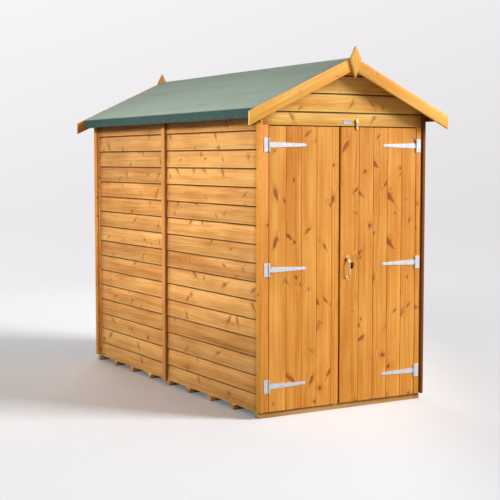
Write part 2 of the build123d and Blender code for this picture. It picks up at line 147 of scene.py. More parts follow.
class ShedRoofSizes(bpy.types.PropertyGroup):
    """Sizes of the felt on the roof."""

    thickness: bpy.props.FloatProperty(
        name="Felt", description="Thickness of the felt", default=0.003, unit="LENGTH")
    ripple: bpy.props.FloatProperty(
        name="Ripple", description="How far the felt stands off in its low waves",
        default=0.0022, unit="LENGTH")
    ripple_length: bpy.props.FloatProperty(
        name="Ripple length", description="Length of the felt's low waves",
        default=0.40, unit="LENGTH")
    fold_radius: bpy.props.FloatProperty(
        name="Fold radius", description="Radius of the fold over the eave",
        default=0.007, unit="LENGTH")
    mesh_step: bpy.props.FloatProperty(
        name="Mesh step", description="Spacing of the felt's mesh", default=0.05, unit="LENGTH")
    nail_spacing: bpy.props.FloatProperty(
        name="Clout spacing", description="Spacing of the clout nails along the eave",
        default=0.150, unit="LENGTH")
    nail_above_edge: bpy.props.FloatProperty(
        name="Clout height", description="Height of the clout nails above the felt's lower edge",
        default=0.016, unit="LENGTH")


class ShedFixingSizes(bpy.types.PropertyGroup):
    """Sizes of the nails and screws."""

    nail_radius: bpy.props.FloatProperty(
        name="Nail head", description="Radius of a cladding nail's head",
        default=0.0026, unit="LENGTH")
    clout_radius: bpy.props.FloatProperty(
        name="Clout head", description="Radius of a felt nail's head",
        default=0.0045, unit="LENGTH")
    nail_stand: bpy.props.FloatProperty(
        name="Nail stand", description="How far a nail's head stands out",
        default=0.0007, unit="LENGTH")
    nail_above_butt: bpy.props.FloatProperty(
        name="Nail height", description="Height of the nails above a board's lower edge",
        default=0.026, unit="LENGTH")
    screw_radius: bpy.props.FloatProperty(
        name="Screw head", description="Radius of a hinge screw's head",
        default=0.0038, unit="LENGTH")
    screw_stand: bpy.props.FloatProperty(
        name="Screw stand", description="How far a screw's head stands out",
        default=0.0012, unit="LENGTH")


class ShedColours(bpy.types.PropertyGroup):
    """Colours of the finishes."""

    wall_light: bpy.props.FloatVectorProperty(
        name="Wall light", description="Pale grain of the wall boards and cover strips",
        subtype="COLOR", default=srgb(236, 176, 102))
    wall_deep: bpy.props.FloatVectorProperty(
        name="Wall deep", description="Deep grain of the wall boards and cover strips",
        subtype="COLOR", default=srgb(196, 130, 64))
    wall_knot: bpy.props.FloatVectorProperty(
        name="Wall knots", description="Knots of the walls, the corner strips and the framing",
        subtype="COLOR", default=srgb(142, 80, 16))
    door_light: bpy.props.FloatVectorProperty(
        name="Door light", description="Pale grain of the doors, jambs and corner strips",
        subtype="COLOR", default=srgb(246, 176, 80))
    door_deep: bpy.props.FloatVectorProperty(
        name="Door deep", description="Deep grain of the doors, jambs, corners and front gable",
        subtype="COLOR", default=srgb(214, 130, 40))
    door_knot: bpy.props.FloatVectorProperty(
        name="Door knots", description="Knots of the doors, jambs, barge boards and finials",
        subtype="COLOR", default=srgb(142, 66, 4))
    trim_light: bpy.props.FloatVectorProperty(
        name="Trim light", description="Pale grain of the barge boards, finials and front gable",
        subtype="COLOR", default=srgb(244, 196, 98))
    trim_deep: bpy.props.FloatVectorProperty(
        name="Trim deep", description="Deep grain of the barge boards and finials",
        subtype="COLOR", default=srgb(232, 154, 58))
    frame_light: bpy.props.FloatVectorProperty(
        name="Framing light", description="Pale grain of the framing, floor and roof planks",
        subtype="COLOR", default=srgb(232, 184, 124))
    frame_deep: bpy.props.FloatVectorProperty(
        name="Framing deep", description="Deep grain of the framing, floor and roof planks",
        subtype="COLOR", default=srgb(190, 134, 76))
    joist_light: bpy.props.FloatVectorProperty(
        name="Joist light", description="Pale grain of the treated joists",
        subtype="COLOR", default=srgb(214, 164, 100))
    joist_deep: bpy.props.FloatVectorProperty(
        name="Joist deep", description="Deep grain of the treated joists",
        subtype="COLOR", default=srgb(168, 116, 60))
    # Painted shade: a dark brown painted where the right corner, the jambs' right edge, the cover
    # strips' forward edges and the eave battens lie in shade
    painted_shade: bpy.props.FloatVectorProperty(
        name="Stain", description="Dark stain of the right corner, cover strips and eaves",
        subtype="COLOR", default=srgb(112, 56, 12))
    felt: bpy.props.FloatVectorProperty(
        name="Felt", description="Mineral green of the felt",
        subtype="COLOR", default=srgb(142, 158, 142))
    # Painted shade: the felt turned down over the eave is given a darker green
    felt_fold: bpy.props.FloatVectorProperty(
        name="Felt fold", description="Darker green of the felt's turned edge",
        subtype="COLOR", default=srgb(66, 88, 82))
    zinc: bpy.props.FloatVectorProperty(
        name="Zinc", description="Bright zinc of the hinges, bolts and screws",
        subtype="COLOR", default=srgb(228, 229, 233))
    nail: bpy.props.FloatVectorProperty(
        name="Nails", description="Dull brown of the cladding's nails",
        subtype="COLOR", default=srgb(170, 132, 88))
    clout: bpy.props.FloatVectorProperty(
        name="Clouts", description="Weathered zinc of the felt nails",
        subtype="COLOR", default=srgb(112, 126, 118))
    brass: bpy.props.FloatVectorProperty(
        name="Brass", description="Pale plating of the handle and the turn button",
        subtype="COLOR", default=srgb(240, 226, 176))
    lock: bpy.props.FloatVectorProperty(
        name="Lock", description="Dark paint of the lock and its keep",
        subtype="COLOR", default=srgb(44, 30, 28))
    plate: bpy.props.FloatVectorProperty(
        name="Plate", description="Pale grey enamel of the bare plate",
        subtype="COLOR", default=srgb(196, 190, 198))


class ShedStageSizes(bpy.types.PropertyGroup):
    """The camera, the floor and the light."""

    camera_place: bpy.props.FloatVectorProperty(
        name="Camera", description="Where the camera stands", subtype="TRANSLATION",
        unit="LENGTH", default=(-3.9955, -6.8715, 1.5047))
    camera_dip: bpy.props.FloatProperty(
        name="Camera dip", description="How far the camera looks down",
        subtype="ANGLE", default=radians(4.436))
    camera_turn: bpy.props.FloatProperty(
        name="Camera turn", description="How far the camera is turned to the right",
        subtype="ANGLE", default=radians(30.41))
    camera_lens: bpy.props.FloatProperty(
        name="Lens", description="Focal length on a 36 mm frame", default=83.1)
    floor_size: bpy.props.FloatProperty(
        name="Floor", description="Side of the floor", default=80.0, unit="LENGTH")
    floor_colour: bpy.props.FloatVectorProperty(
        name="Floor colour", description="Paint of the floor", subtype="COLOR",
        default=(0.87, 0.88, 0.905))
    floor_dim: bpy.props.FloatProperty(
        name="Floor dimming", description="Share of its paint that the floor throws back",
        default=0.40, subtype="FACTOR")
    floor_glow: bpy.props.FloatProperty(
        name="Floor lift", description="How much paler the camera sees the floor",
        default=0.135, subtype="FACTOR")
    # Painted shade on the floor, darker in front of the doors and to their right
    floor_aside: bpy.props.FloatVectorProperty(
        name="Floor aside", description="Way in which the floor grows darker",
        subtype="DIRECTION", default=(0.862, -0.506, 0.0))
    aside_start: bpy.props.FloatProperty(
        name="Aside start", description="Distance that way at which it starts to darken",
        default=0.6, unit="LENGTH")
    aside_end: bpy.props.FloatProperty(
        name="Aside end", description="Distance that way at which it has darkened",
        default=1.8, unit="LENGTH")
    aside_dim: bpy.props.FloatProperty(
        name="Aside dimming", description="Share of its paint left on the darker side",
        default=0.66, subtype="FACTOR")
    fade_start: bpy.props.FloatProperty(
        name="Fade start", description="Distance at which the floor starts to fade out",
        default=2.2, unit="LENGTH")
    fade_end: bpy.props.FloatProperty(
        name="Fade end", description="Distance at which the floor has faded out",
        default=7.0, unit="LENGTH")
    sweep: bpy.props.FloatVectorProperty(
        name="Sweep", description="Way in which the backdrop grows lighter",
        subtype="DIRECTION", default=(-0.18, 0.18, 0.0))
    horizon: bpy.props.FloatProperty(
        name="Horizon", description="How far below level the backdrop is darkest", default=0.05)
    horizon_rise: bpy.props.FloatProperty(
        name="Horizon rise", description="How fast the backdrop grows lighter from there",
        default=0.70)
    backdrop: bpy.props.FloatVectorProperty(
        name="Backdrop", description="Colour behind the shed", subtype="COLOR",
        default=(0.755, 0.735, 0.755))
    ambient: bpy.props.FloatProperty(
        name="Ambient", description="Strength of the light from all round", default=0.24)
    key: bpy.props.FloatProperty(
        name="Key", description="Power of the main light", default=2980.0, unit="POWER")
    side: bpy.props.FloatProperty(
        name="Side", description="Power of the light on the long wall", default=25.0,
        unit="POWER")


# Selecting and joining

def deselect_all():
    """Leave edit mode and leave nothing selected."""
    if bpy.context.object and bpy.context.object.mode != "OBJECT":
        bpy.ops.object.mode_set(mode="OBJECT")
    for thing in list(bpy.context.selected_objects):
        thing.select_set(False)


def make_active(piece):
    """Select one piece and no other."""
    deselect_all()
    piece.select_set(True)
    bpy.context.view_layer.objects.active = piece


class Shaping:
    """Edit mode on one piece, and back to object mode at the end."""

    def __init__(self, piece, parts="VERT"):
        self.piece = piece
        self.parts = parts

    def __enter__(self):
        make_active(self.piece)
        bpy.ops.object.mode_set(mode="EDIT")
        bpy.ops.mesh.select_mode(type=self.parts)

    def __exit__(self, *problem):
        bpy.ops.object.mode_set(mode="OBJECT")


def nothing_picked(piece):
    """In edit mode, the shape that is being edited, with nothing selected."""
    shape = bmesh.from_edit_mesh(piece.data)
    for part in (*shape.faces, *shape.edges, *shape.verts):
        part.select = False
    return shape


def pick_points(piece, test):
    """In edit mode, select the points whose place passes the test."""
    shape = nothing_picked(piece)
    for point in shape.verts:
        point.select = test(point.co)
    shape.select_flush(True)
    bmesh.update_edit_mesh(piece.data)


def pick_edges(piece, test):
    """In edit mode by edges, select those whose two ends pass the test."""
    shape = nothing_picked(piece)
    for edge in shape.edges:
        if test(edge.verts[0].co, edge.verts[1].co):
            edge.select_set(True)
    bmesh.update_edit_mesh(piece.data)


def pick_faces(piece, test):
    """In edit mode by faces, select those whose middle and normal pass the test."""
    shape = nothing_picked(piece)
    for face in shape.faces:
        if test(face.calc_center_median(), face.normal):
            face.select_set(True)
    bmesh.update_edit_mesh(piece.data)


def bar(name, low, high):
    """A squared bar between two corners."""
    low = Vector(low)
    high = Vector(high)
    deselect_all()
    bpy.ops.mesh.primitive_cube_add(size=1.0, location=(low + high) / 2, scale=high - low)
    piece = bpy.context.object
    piece.name = name
    settle(piece)
    return piece


def copy_moved(piece, move):
    """A twin with a mesh of its own, moved."""
    twin = bpy.data.objects.new(piece.name, piece.data.copy())
    bpy.context.scene.collection.objects.link(twin)
    twin.data.transform(Matrix.Translation(move))
    return twin


def join(name, pieces):
    """Make one piece of several."""
    make_active(pieces[0])
    for piece in pieces[1:]:
        piece.select_set(True)
    if len(pieces) > 1:
        bpy.ops.object.join()
    pieces[0].name = name
    pieces[0].data.name = name
    return pieces[0]


def remove(piece):
    bpy.data.objects.remove(piece)


def settle(piece):
    """Bring a piece's place, turn and size into its mesh."""
    make_active(piece)
    bpy.ops.object.transform_apply(location=True, rotation=True, scale=True)


def apply_modifier(piece, kind, **settings):
    """Put a modifier with these settings on a piece and apply it."""
    make_active(piece)
    modifier = piece.modifiers.new(kind.lower(), kind)
    for key, value in settings.items():
        setattr(modifier, key, value)
    bpy.ops.object.modifier_apply(modifier=modifier.name)


def ease(piece, radius, sharp=40):
    """Round the edges of a piece that turn by more than sharp, in degrees."""
    apply_modifier(piece, "BEVEL", width=radius, segments=2, limit_method="ANGLE",
                   angle_limit=radians(sharp))


def cut_above(piece, place, normal):
    """Saw off what lies beyond a plane and close the cut."""
    with Shaping(piece):
        bpy.ops.mesh.select_all(action="SELECT")
        bpy.ops.mesh.bisect(plane_co=place, plane_no=normal, use_fill=True,
                            clear_outer=True)


# Grain

def loose_parts(mesh):
    """Groups of point numbers that hang together, such as the boards of a wall."""
    parent = list(range(len(mesh.vertices)))

    def root(number):
        while parent[number] != number:
            parent[number] = parent[parent[number]]
            number = parent[number]
        return number

    for edge in mesh.edges:
        first, second = (root(number) for number in edge.vertices)
        parent[max(first, second)] = min(first, second)
    groups = {}
    for number in range(len(parent)):
        groups.setdefault(root(number), []).append(number)
    return list(groups.values())


def mark_grain(piece):
    """Store each board's own directions, lengthwise first, and its random tones.

    The fourth tone is the distance from the board's nearer end.
    """
    mesh = piece.data
    places = np.zeros(len(mesh.vertices) * 3)
    mesh.vertices.foreach_get("co", places)
    places = places.reshape(-1, 3)
    grain = np.zeros_like(places)
    tones = np.ones((len(places), 4))
    draw = random.Random(piece.name)
    for numbers in loose_parts(mesh):
        points = places[numbers]
        middle = (points.min(axis=0) + points.max(axis=0)) / 2
        axes = np.linalg.svd(points - points.mean(axis=0), full_matrices=False)[2]
        axes = [axis * np.sign(axis[np.abs(axis).argmax()]) for axis in axes]
        grain[numbers] = (points - middle) @ np.array(axes).T
        tones[numbers, :3] = [draw.random() for _ in range(3)]
        lengthwise = np.abs(grain[numbers, 0])
        tones[numbers, 3] = lengthwise.max() - lengthwise
    mesh.attributes.new("grain", "FLOAT_VECTOR", "POINT")
    mesh.attributes["grain"].data.foreach_set("vector", grain.ravel())
    mesh.attributes.new("board", "FLOAT_COLOR", "POINT")
    mesh.attributes["board"].data.foreach_set("color", tones.ravel())


def hand_over(piece, finish, body, slot, *nodes, smooth=35):
    """Give a piece its finish and its body, and hide the nodes that it stands for."""
    make_active(piece)
    bpy.ops.object.shade_smooth_by_angle(angle=radians(smooth))
    piece.data.materials.clear()
    piece.data.materials.append(finish)
    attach(piece, body)
    if nodes:
        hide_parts(*nodes)


def hand_over_wood(piece, finish, body, slot, node, smooth=35):
    """Mark the grain of a wooden piece, then hand it over."""
    mark_grain(piece)
    hand_over(piece, finish, body, slot, node, smooth=smooth)


# Finishes

class Nodes:
    """A tree of shader nodes and short ways to add to it."""

    def __init__(self, tree):
        self.tree = tree

    def feed(self, socket, source):
        if isinstance(source, bpy.types.NodeSocket):
            self.tree.links.new(source, socket)
        else:
            socket.default_value = source

    def add(self, kind, *sources, **settings):
        node = self.tree.nodes.new(kind)
        for key, value in settings.items():
            setattr(node, key, value)
        for socket, source in zip(node.inputs, sources):
            self.feed(socket, source)
        return node

    def calc(self, operation, first, second=0.0, third=0.0, clamp=False):
        node = self.add("ShaderNodeMath", first, second, third, operation=operation,
                        use_clamp=clamp)
        return node.outputs[0]

    def between(self, value, start, end, low=0.0, high=1.0):
        """A smooth step from low to high as the value goes from start to end."""
        node = self.add("ShaderNodeMapRange", value, start, end, low, high,
                        interpolation_type="SMOOTHSTEP")
        return node.outputs[0]

    def split(self, source):
        return self.add("ShaderNodeSeparateXYZ", source).outputs

    def point(self, x, y, z):
        return self.add("ShaderNodeCombineXYZ", x, y, z).outputs[0]

    def noise(self, place, scale, detail=2.0):
        """Cloudy values about nought, from minus a half to a half."""
        node = self.add("ShaderNodeTexNoise", noise_dimensions="3D")
        self.feed(node.inputs["Vector"], place)
        node.inputs["Scale"].default_value = scale
        node.inputs["Detail"].default_value = detail
        return self.calc("SUBTRACT", node.outputs[0], 0.5)

    def mix(self, share, first, second, blend="MIX"):
        node = self.add("ShaderNodeMix", data_type="RGBA", blend_type=blend)
        self.feed(node.inputs[0], share)
        self.feed(node.inputs[6], first)
        self.feed(node.inputs[7], second)
        return node.outputs[2]

    def total(self, *terms):
        """The sum of several values, each a source and its weight."""
        result = 0.0
        for source, weight in terms:
            result = self.calc("MULTIPLY_ADD", source, weight, result)
        return result

    def coordinates(self, kind):
        return self.add("ShaderNodeTexCoord").outputs[kind]

    def attribute(self, name):
        return self.add("ShaderNodeAttribute", attribute_name=name).outputs

    def along(self, way, direction):
        """How far a place or a way reaches in a direction."""
        return self.add("ShaderNodeVectorMath", way, direction,
                        operation="DOT_PRODUCT").outputs["Value"]


class Finish(Nodes):
    """A material and its nodes."""

    def __init__(self, name):
        self.material = bpy.data.materials.new(name)
        self.material.use_nodes = True
        super().__init__(self.material.node_tree)
        self.surface = self.tree.nodes["Principled BSDF"]

    def bump(self, height, distance, strength):
        """Raise the surface by the height, in shares of the distance."""
        node = self.add("ShaderNodeBump")
        node.inputs["Strength"].default_value = strength
        node.inputs["Distance"].default_value = distance
        self.feed(node.inputs["Height"], height)
        self.feed(self.surface.inputs["Normal"], node.outputs[0])


def solid_colour(colour, share=1.0):
    """A colour, or a share of it, as a socket takes it."""
    return (*(share * part for part in colour), 1.0)


def knots(f, along, across, out, spacing, row, kept_share, long_radius, short_radius, swing,
          taper):
    """One knot to a cell: its ragged distance, nought at the heart and 1 at the rim.

    A cell is spacing long and row wide, and kept_share of the cells show their knot.
    swing is how far the knots lean from the grain, at least and at most, and taper how
    far a knot narrows towards one end. The side value tells its two long sides apart.
    """
    u = f.calc("DIVIDE", along, spacing)
    v = f.calc("DIVIDE", across, row)
    cells, rims = (f.add("ShaderNodeTexVoronoi", voronoi_dimensions="2D", feature=feature)
                   for feature in ("F1", "DISTANCE_TO_EDGE"))
    for node in (cells, rims):
        f.feed(node.inputs["Vector"], f.point(u, v, 0.0))
        node.inputs["Scale"].default_value = 1.0
        node.inputs["Randomness"].default_value = 0.85  # of a cell, that a knot may stray
    cell_u, cell_v, _ = f.split(cells.outputs["Position"])
    lean_draw, size_draw, kept_draw = f.split(cells.outputs["Color"])
    from_u = f.calc("MULTIPLY", f.calc("SUBTRACT", u, cell_u), spacing)
    from_v = f.calc("MULTIPLY", f.calc("SUBTRACT", v, cell_v), row)
    side = f.calc("SIGN", f.calc("SUBTRACT", lean_draw, 0.5))
    lean = f.calc("MULTIPLY_ADD", f.calc("SUBTRACT", lean_draw, 0.5),
                  2.0 * (swing[1] - swing[0]), f.calc("MULTIPLY", side, swing[0]))
    turn_cos = f.calc("COSINE", lean)
    turn_sin = f.calc("SINE", lean)
    lengthwise = f.calc("ADD", f.calc("MULTIPLY", from_u, turn_cos),
                        f.calc("MULTIPLY", from_v, turn_sin))
    sidewise = f.calc("SUBTRACT", f.calc("MULTIPLY", from_v, turn_cos),
                      f.calc("MULTIPLY", from_u, turn_sin))
    size = f.calc("MULTIPLY_ADD", size_draw, 0.9, 0.45)  # 0.45 to 1.35 of the radii
    run = f.calc("DIVIDE", lengthwise, f.calc("MULTIPLY", size, long_radius))
    girth = f.calc("MULTIPLY_ADD", f.calc("MAXIMUM", f.calc("MINIMUM", run, 1.0), -1.0), taper,
                   1.0)
    reach = f.calc("DIVIDE", sidewise, f.calc(
        "MULTIPLY", f.calc("MULTIPLY", size, short_radius), girth))
    oval = f.calc("SQRT", f.calc("ADD", f.calc("POWER", f.calc("ABSOLUTE", run), 2.0),
                                 f.calc("POWER", f.calc("ABSOLUTE", reach), 2.0)))
    ragged = f.noise(f.point(along, across, out), scale=90.0)
    lobed = f.noise(f.point(along, across, out), scale=34.0, detail=1.0)
    kept = f.calc("MULTIPLY", f.between(kept_draw, kept_share + 0.03, kept_share - 0.03),
                  f.between(rims.outputs["Distance"], 0.02, 0.15))
    return f.total((ragged, 0.7), (lobed, 0.9), (oval, 1.0)), kept, reach


def pine(name, light, deep, knot, knot_spacing=0.27, knot_size=1.0, knot_share=0.8,
         contrast=1.0, tone_spread=0.5, ring_share=0.35, rough=0.62, painted_shade=None,
         shade_from=0.0, shade_share=0.85, shade_left=False, lap=None, end_shade=0.0,
         edge_light_and_shade=0.0):
    """Softwood: growth rings, fibre streaks and knots that the grain flows round.

    painted_shade is a dark colour painted as shade on the faces that look forward, and
    with shade_left also on those that look left, beyond shade_from on X. lap is the foot
    and pitch of overlap boards, which take painted shade where the next board lies on
    them and on the butts' undersides, and a painted highlight just above each lower edge.
    end_shade is the length of painted shade at each board's end, and
    edge_light_and_shade paints highlights on the forward chamfers that look right or up
    and on the edges that look left, and painted shade on the chamfers that look left.
    """
    f = Finish(name)
    along, across, out = f.split(f.attribute("grain")["Vector"])
    board = f.attribute("board")
    first, second, third = f.split(board["Color"])
    far_along = f.calc("MULTIPLY_ADD", first, 40.0, along)
    far_across = f.calc("MULTIPLY_ADD", second, 9.0, across)

    def drawn_out(along_scale, across_scale, out_scale, detail=2.0):
        """Noise that is longer along the grain than across it."""
        place = f.point(f.calc("MULTIPLY", far_along, along_scale),
                        f.calc("MULTIPLY", far_across, across_scale),
                        f.calc("MULTIPLY", out, out_scale))
        return f.noise(place, 1.0, detail)

    # Slanting spike knots and small round ones, each with a halo
    spike, spike_kept, spike_side = knots(
        f, far_along, far_across, out, knot_spacing, row=0.13, kept_share=0.62,
        long_radius=0.030 * knot_size, short_radius=0.0098 * knot_size, swing=(0.30, 1.05),
        taper=0.5)
    dot, dot_kept, _ = knots(
        f, f.calc("ADD", far_along, 3.7), far_across, out, knot_spacing, row=0.12,
        kept_share=0.42, long_radius=0.0105 * knot_size, short_radius=0.0075 * knot_size,
        swing=(0.0, 1.5), taper=0.3)
    spike_core = f.calc("MULTIPLY", f.between(spike, 1.25, 0.7), spike_kept)
    dot_core = f.calc("MULTIPLY", f.between(dot, 1.2, 0.75), dot_kept)
    heart = f.calc("MAXIMUM", f.calc("MULTIPLY", f.between(dot, 0.55, 0.15), dot_kept),
                   f.calc("MULTIPLY", f.calc("MULTIPLY", f.between(spike_side, 0.1, 0.8),
                                             spike_core), 0.8))
    core = f.calc("MAXIMUM", f.calc("MULTIPLY", spike_core, 0.85), dot_core)
    halo = f.calc("MAXIMUM", f.calc("MULTIPLY", f.between(spike, 3.2, 0.9), spike_kept),
                  f.calc("MULTIPLY", f.between(dot, 4.0, 0.9), dot_kept))
    flank = f.calc("MULTIPLY", f.calc("MULTIPLY", f.between(spike, 2.0, 1.3), spike_kept),
                   f.between(spike_side, -0.2, -1.0))

    # Growth rings round a pith that wanders, 16 to 66 mm under the board's middle
    rings_a_metre = 150.0
    pushed_by_knot = 0.011
    ring_waver = 0.003
    sway = f.noise(f.point(far_along, f.calc("MULTIPLY", second, 7.0), 0.0), 1.1, 1.0)
    pith_across = f.total((f.calc("SUBTRACT", second, 0.5), 0.11), (sway, 0.10))
    pith_depth = f.calc("MULTIPLY_ADD", third, 0.05, 0.016)
    ring_radius = f.calc("SQRT", f.calc(
        "ADD", f.calc("POWER", f.calc("SUBTRACT", across, pith_across), 2.0),
        f.calc("POWER", f.calc("ADD", out, pith_depth), 2.0)))
    ring_place = f.total((ring_radius, 1.0), (halo, pushed_by_knot),
                         (drawn_out(4.0, 40.0, 40.0), ring_waver))
    phase = f.calc("FRACT", f.calc("MULTIPLY", ring_place, rings_a_metre))
    late_wood = f.calc("MULTIPLY", f.between(phase, 0.30, 0.88), f.between(phase, 1.0, 0.92))

    # Streaks and clouds of colour
    fibre = drawn_out(2.2, 75.0, 75.0, detail=3.0)
    streak = drawn_out(1.4, 17.0, 17.0)
    cloud = drawn_out(3.2, 9.0, 1.0)
    depth = f.total((fibre, 0.9 * contrast), (streak, 1.5 * contrast), (cloud, 0.9 * contrast),
                    (f.calc("SUBTRACT", third, 0.5), tone_spread))
    depth = f.calc("ADD", depth, 0.5, clamp=True)
    colour = f.mix(depth, solid_colour(light), solid_colour(deep))
    figure = f.calc("MULTIPLY_ADD", halo, 0.4, ring_share)
    no_ring, dark_ring = (1.0, 1.0, 1.0, 1.0), (0.66, 0.46, 0.30, 1.0)
    ring_tone = f.mix(f.calc("MULTIPLY", late_wood, figure), no_ring, dark_ring)
    colour = f.mix(1.0, colour, ring_tone, "MULTIPLY")
    board_tone = f.calc("MULTIPLY_ADD", f.calc("SUBTRACT", first, 0.5), 0.35 * tone_spread, 1.0)
    colour = f.mix(1.0, colour, board_tone, "MULTIPLY")
    amber = tuple(0.62 * a + 0.38 * b for a, b in zip(deep, knot))
    pale = solid_colour(tuple(min(1.0, part * 1.3) for part in light))
    colour = f.mix(f.calc("MULTIPLY", f.calc("POWER", halo, 2.0), 0.45), colour,
                   solid_colour(amber))
    colour = f.mix(f.calc("MULTIPLY", flank, 0.28), colour, pale)
    colour = f.mix(f.calc("MULTIPLY", core, knot_share), colour, solid_colour(knot))
    colour = f.mix(f.calc("MULTIPLY", heart, 0.6 * knot_share), colour,
                   solid_colour(knot, 0.45))

    # Painted highlights and painted shade on edges, laps, board ends and forward faces
    facing_x, facing_y, facing_z = f.split(f.coordinates("Normal"))
    if edge_light_and_shade:
        # Painted highlights on forward chamfers that look right or up, painted shade on those that
        # look left
        forward = f.between(facing_y, -0.3, -0.5)
        lit = f.between(f.calc("MAXIMUM", facing_x, facing_z), 0.25, 0.5)
        unlit = f.between(facing_x, -0.25, -0.5)
        colour = f.mix(f.calc("MULTIPLY", f.calc("MULTIPLY", lit, forward), edge_light_and_shade),
                       colour, pale)
        colour = f.mix(f.calc("MULTIPLY", f.calc("MULTIPLY", unlit, forward),
                              0.2 * edge_light_and_shade), colour, solid_colour(knot))
        # Painted highlight on the edges that look left
        colour = f.mix(f.between(facing_x, -0.8, -0.95), colour, pale)
    if lap is not None:
        foot, pitch = lap
        lap_shade_tone = (0.42, 0.27, 0.20)
        height = f.split(f.coordinates("Object"))[2]
        # The share of a board's height that a place is above the board's lower edge
        place = f.calc("FRACT", f.calc("DIVIDE", f.calc("SUBTRACT", height, foot), pitch))
        under = f.between(f.calc("MULTIPLY_ADD", cloud, 0.03, place), 0.885, 0.945)
        butt_end = f.between(facing_z, -0.5, -0.8)
        # Painted highlight just above each board's lower edge
        colour = f.mix(f.calc("MULTIPLY", f.between(place, 0.08, 0.03), 0.35), colour, pale)
        # Painted shade where the next board lies over this one, and on the undersides of the butts
        colour = f.mix(f.calc("MULTIPLY", f.calc("MAXIMUM", under, butt_end), 0.92), colour,
                       solid_colour([share * part for share, part in zip(lap_shade_tone, knot)]))
    if end_shade:
        # Painted shade towards each board's ends, beside the strips that cover them
        from_end = board["Alpha"]
        near_end = f.between(from_end, end_shade, 0.0)
        very_end = f.between(from_end, 0.014, 0.006)
        colour = f.mix(f.total((near_end, 0.5), (very_end, 0.4)), colour, solid_colour(knot))
    if painted_shade is not None:
        # Painted shade on the faces that look forward, and where chosen also left, beyond the
        # given place on X
        soft_edge = 0.004
        facing = f.between(facing_y, -0.4, -0.8)
        if shade_left:
            facing = f.calc("MAXIMUM", facing, f.between(facing_x, -0.4, -0.8))
        beyond = f.between(f.split(f.coordinates("Object"))[0], shade_from - soft_edge,
                           shade_from + soft_edge)
        colour = f.mix(f.calc("MULTIPLY", f.calc("MULTIPLY", facing, beyond), shade_share),
                       colour, solid_colour(painted_shade))
    f.feed(f.surface.inputs["Base Color"], colour)
    f.surface.inputs["Specular IOR Level"].default_value = 0.28
    f.feed(f.surface.inputs["Roughness"], f.total((fibre, 0.18), (core, -0.12), (1.0, rough)))
    f.bump(f.total((fibre, 0.7), (late_wood, 0.5), (core, -0.6), (cloud, 0.5)),
           distance=0.0007, strength=0.5)
    return f.material


def mineral_felt(name, green, fold):
    """Felt with a coat of crushed slate, with painted shade where it is turned over the eave."""
    f = Finish(name)
    place = f.coordinates("Object")
    x, y, z = f.split(place)
    grit = f.noise(place, scale=420.0)
    mottle = f.noise(place, scale=9.0, detail=3.0)
    # Worn streaks run along the ridge, so they are stretched on Y
    worn = f.noise(f.point(f.calc("MULTIPLY", x, 9.0), f.calc("MULTIPLY", y, 1.1),
                           f.calc("MULTIPLY", z, 9.0)), scale=1.0)
    upright = f.split(f.coordinates("Normal"))[2]
    # Painted shade: faces that turn away from upward take the darker fold colour
    turned = f.between(upright, 0.75, 0.25)
    colour = f.mix(turned, solid_colour(green), solid_colour(fold))
    shade = f.total((grit, 0.60), (mottle, 0.20), (worn, 0.34), (1.0, 1.0))
    colour = f.mix(1.0, colour, shade, "MULTIPLY")
    f.feed(f.surface.inputs["Base Color"], colour)
    f.surface.inputs["Roughness"].default_value = 0.92
    f.surface.inputs["Specular IOR Level"].default_value = 0.25
    f.bump(f.total((grit, 1.0), (mottle, 0.6)), distance=0.0008, strength=0.6)
    return f.material


def plated_metal(name, colour, rough=0.34, metallic=0.75, spangle=0.10):
    """Bright plating with a faint spangle and drawing lines."""
    f = Finish(name)
    place = f.coordinates("Object")
    flakes = f.add("ShaderNodeTexVoronoi")
    f.feed(flakes.inputs["Vector"], place)
    flakes.inputs["Scale"].default_value = 260.0
    flake = f.calc("SUBTRACT", f.split(flakes.outputs["Color"])[0], 0.5)
    smear = f.noise(place, scale=40.0, detail=3.0)
    shade = f.total((flake, spangle), (smear, 0.12), (1.0, 1.0))
    f.feed(f.surface.inputs["Base Color"], f.mix(1.0, solid_colour(colour), shade, "MULTIPLY"))
    f.surface.inputs["Metallic"].default_value = metallic
    f.feed(f.surface.inputs["Roughness"], f.total((flake, 0.10), (smear, 0.12), (1.0, rough)))
    f.bump(smear, distance=0.0002, strength=0.3)
    return f.material


def enamel(name, colour, rough=0.35):
    """Thick paint with a faint orange peel."""
    f = Finish(name)
    place = f.coordinates("Object")
    peel = f.noise(place, scale=300.0, detail=1.0)
    smear = f.noise(place, scale=18.0)
    shade = f.total((smear, 0.10), (1.0, 1.0))
    f.feed(f.surface.inputs["Base Color"], f.mix(1.0, solid_colour(colour), shade, "MULTIPLY"))
    f.feed(f.surface.inputs["Roughness"], f.total((peel, 0.1), (1.0, rough)))
    f.bump(peel, distance=0.0001, strength=0.3)
    return f.material


# The finishes by the names that the pieces ask for
FINISHES = {}


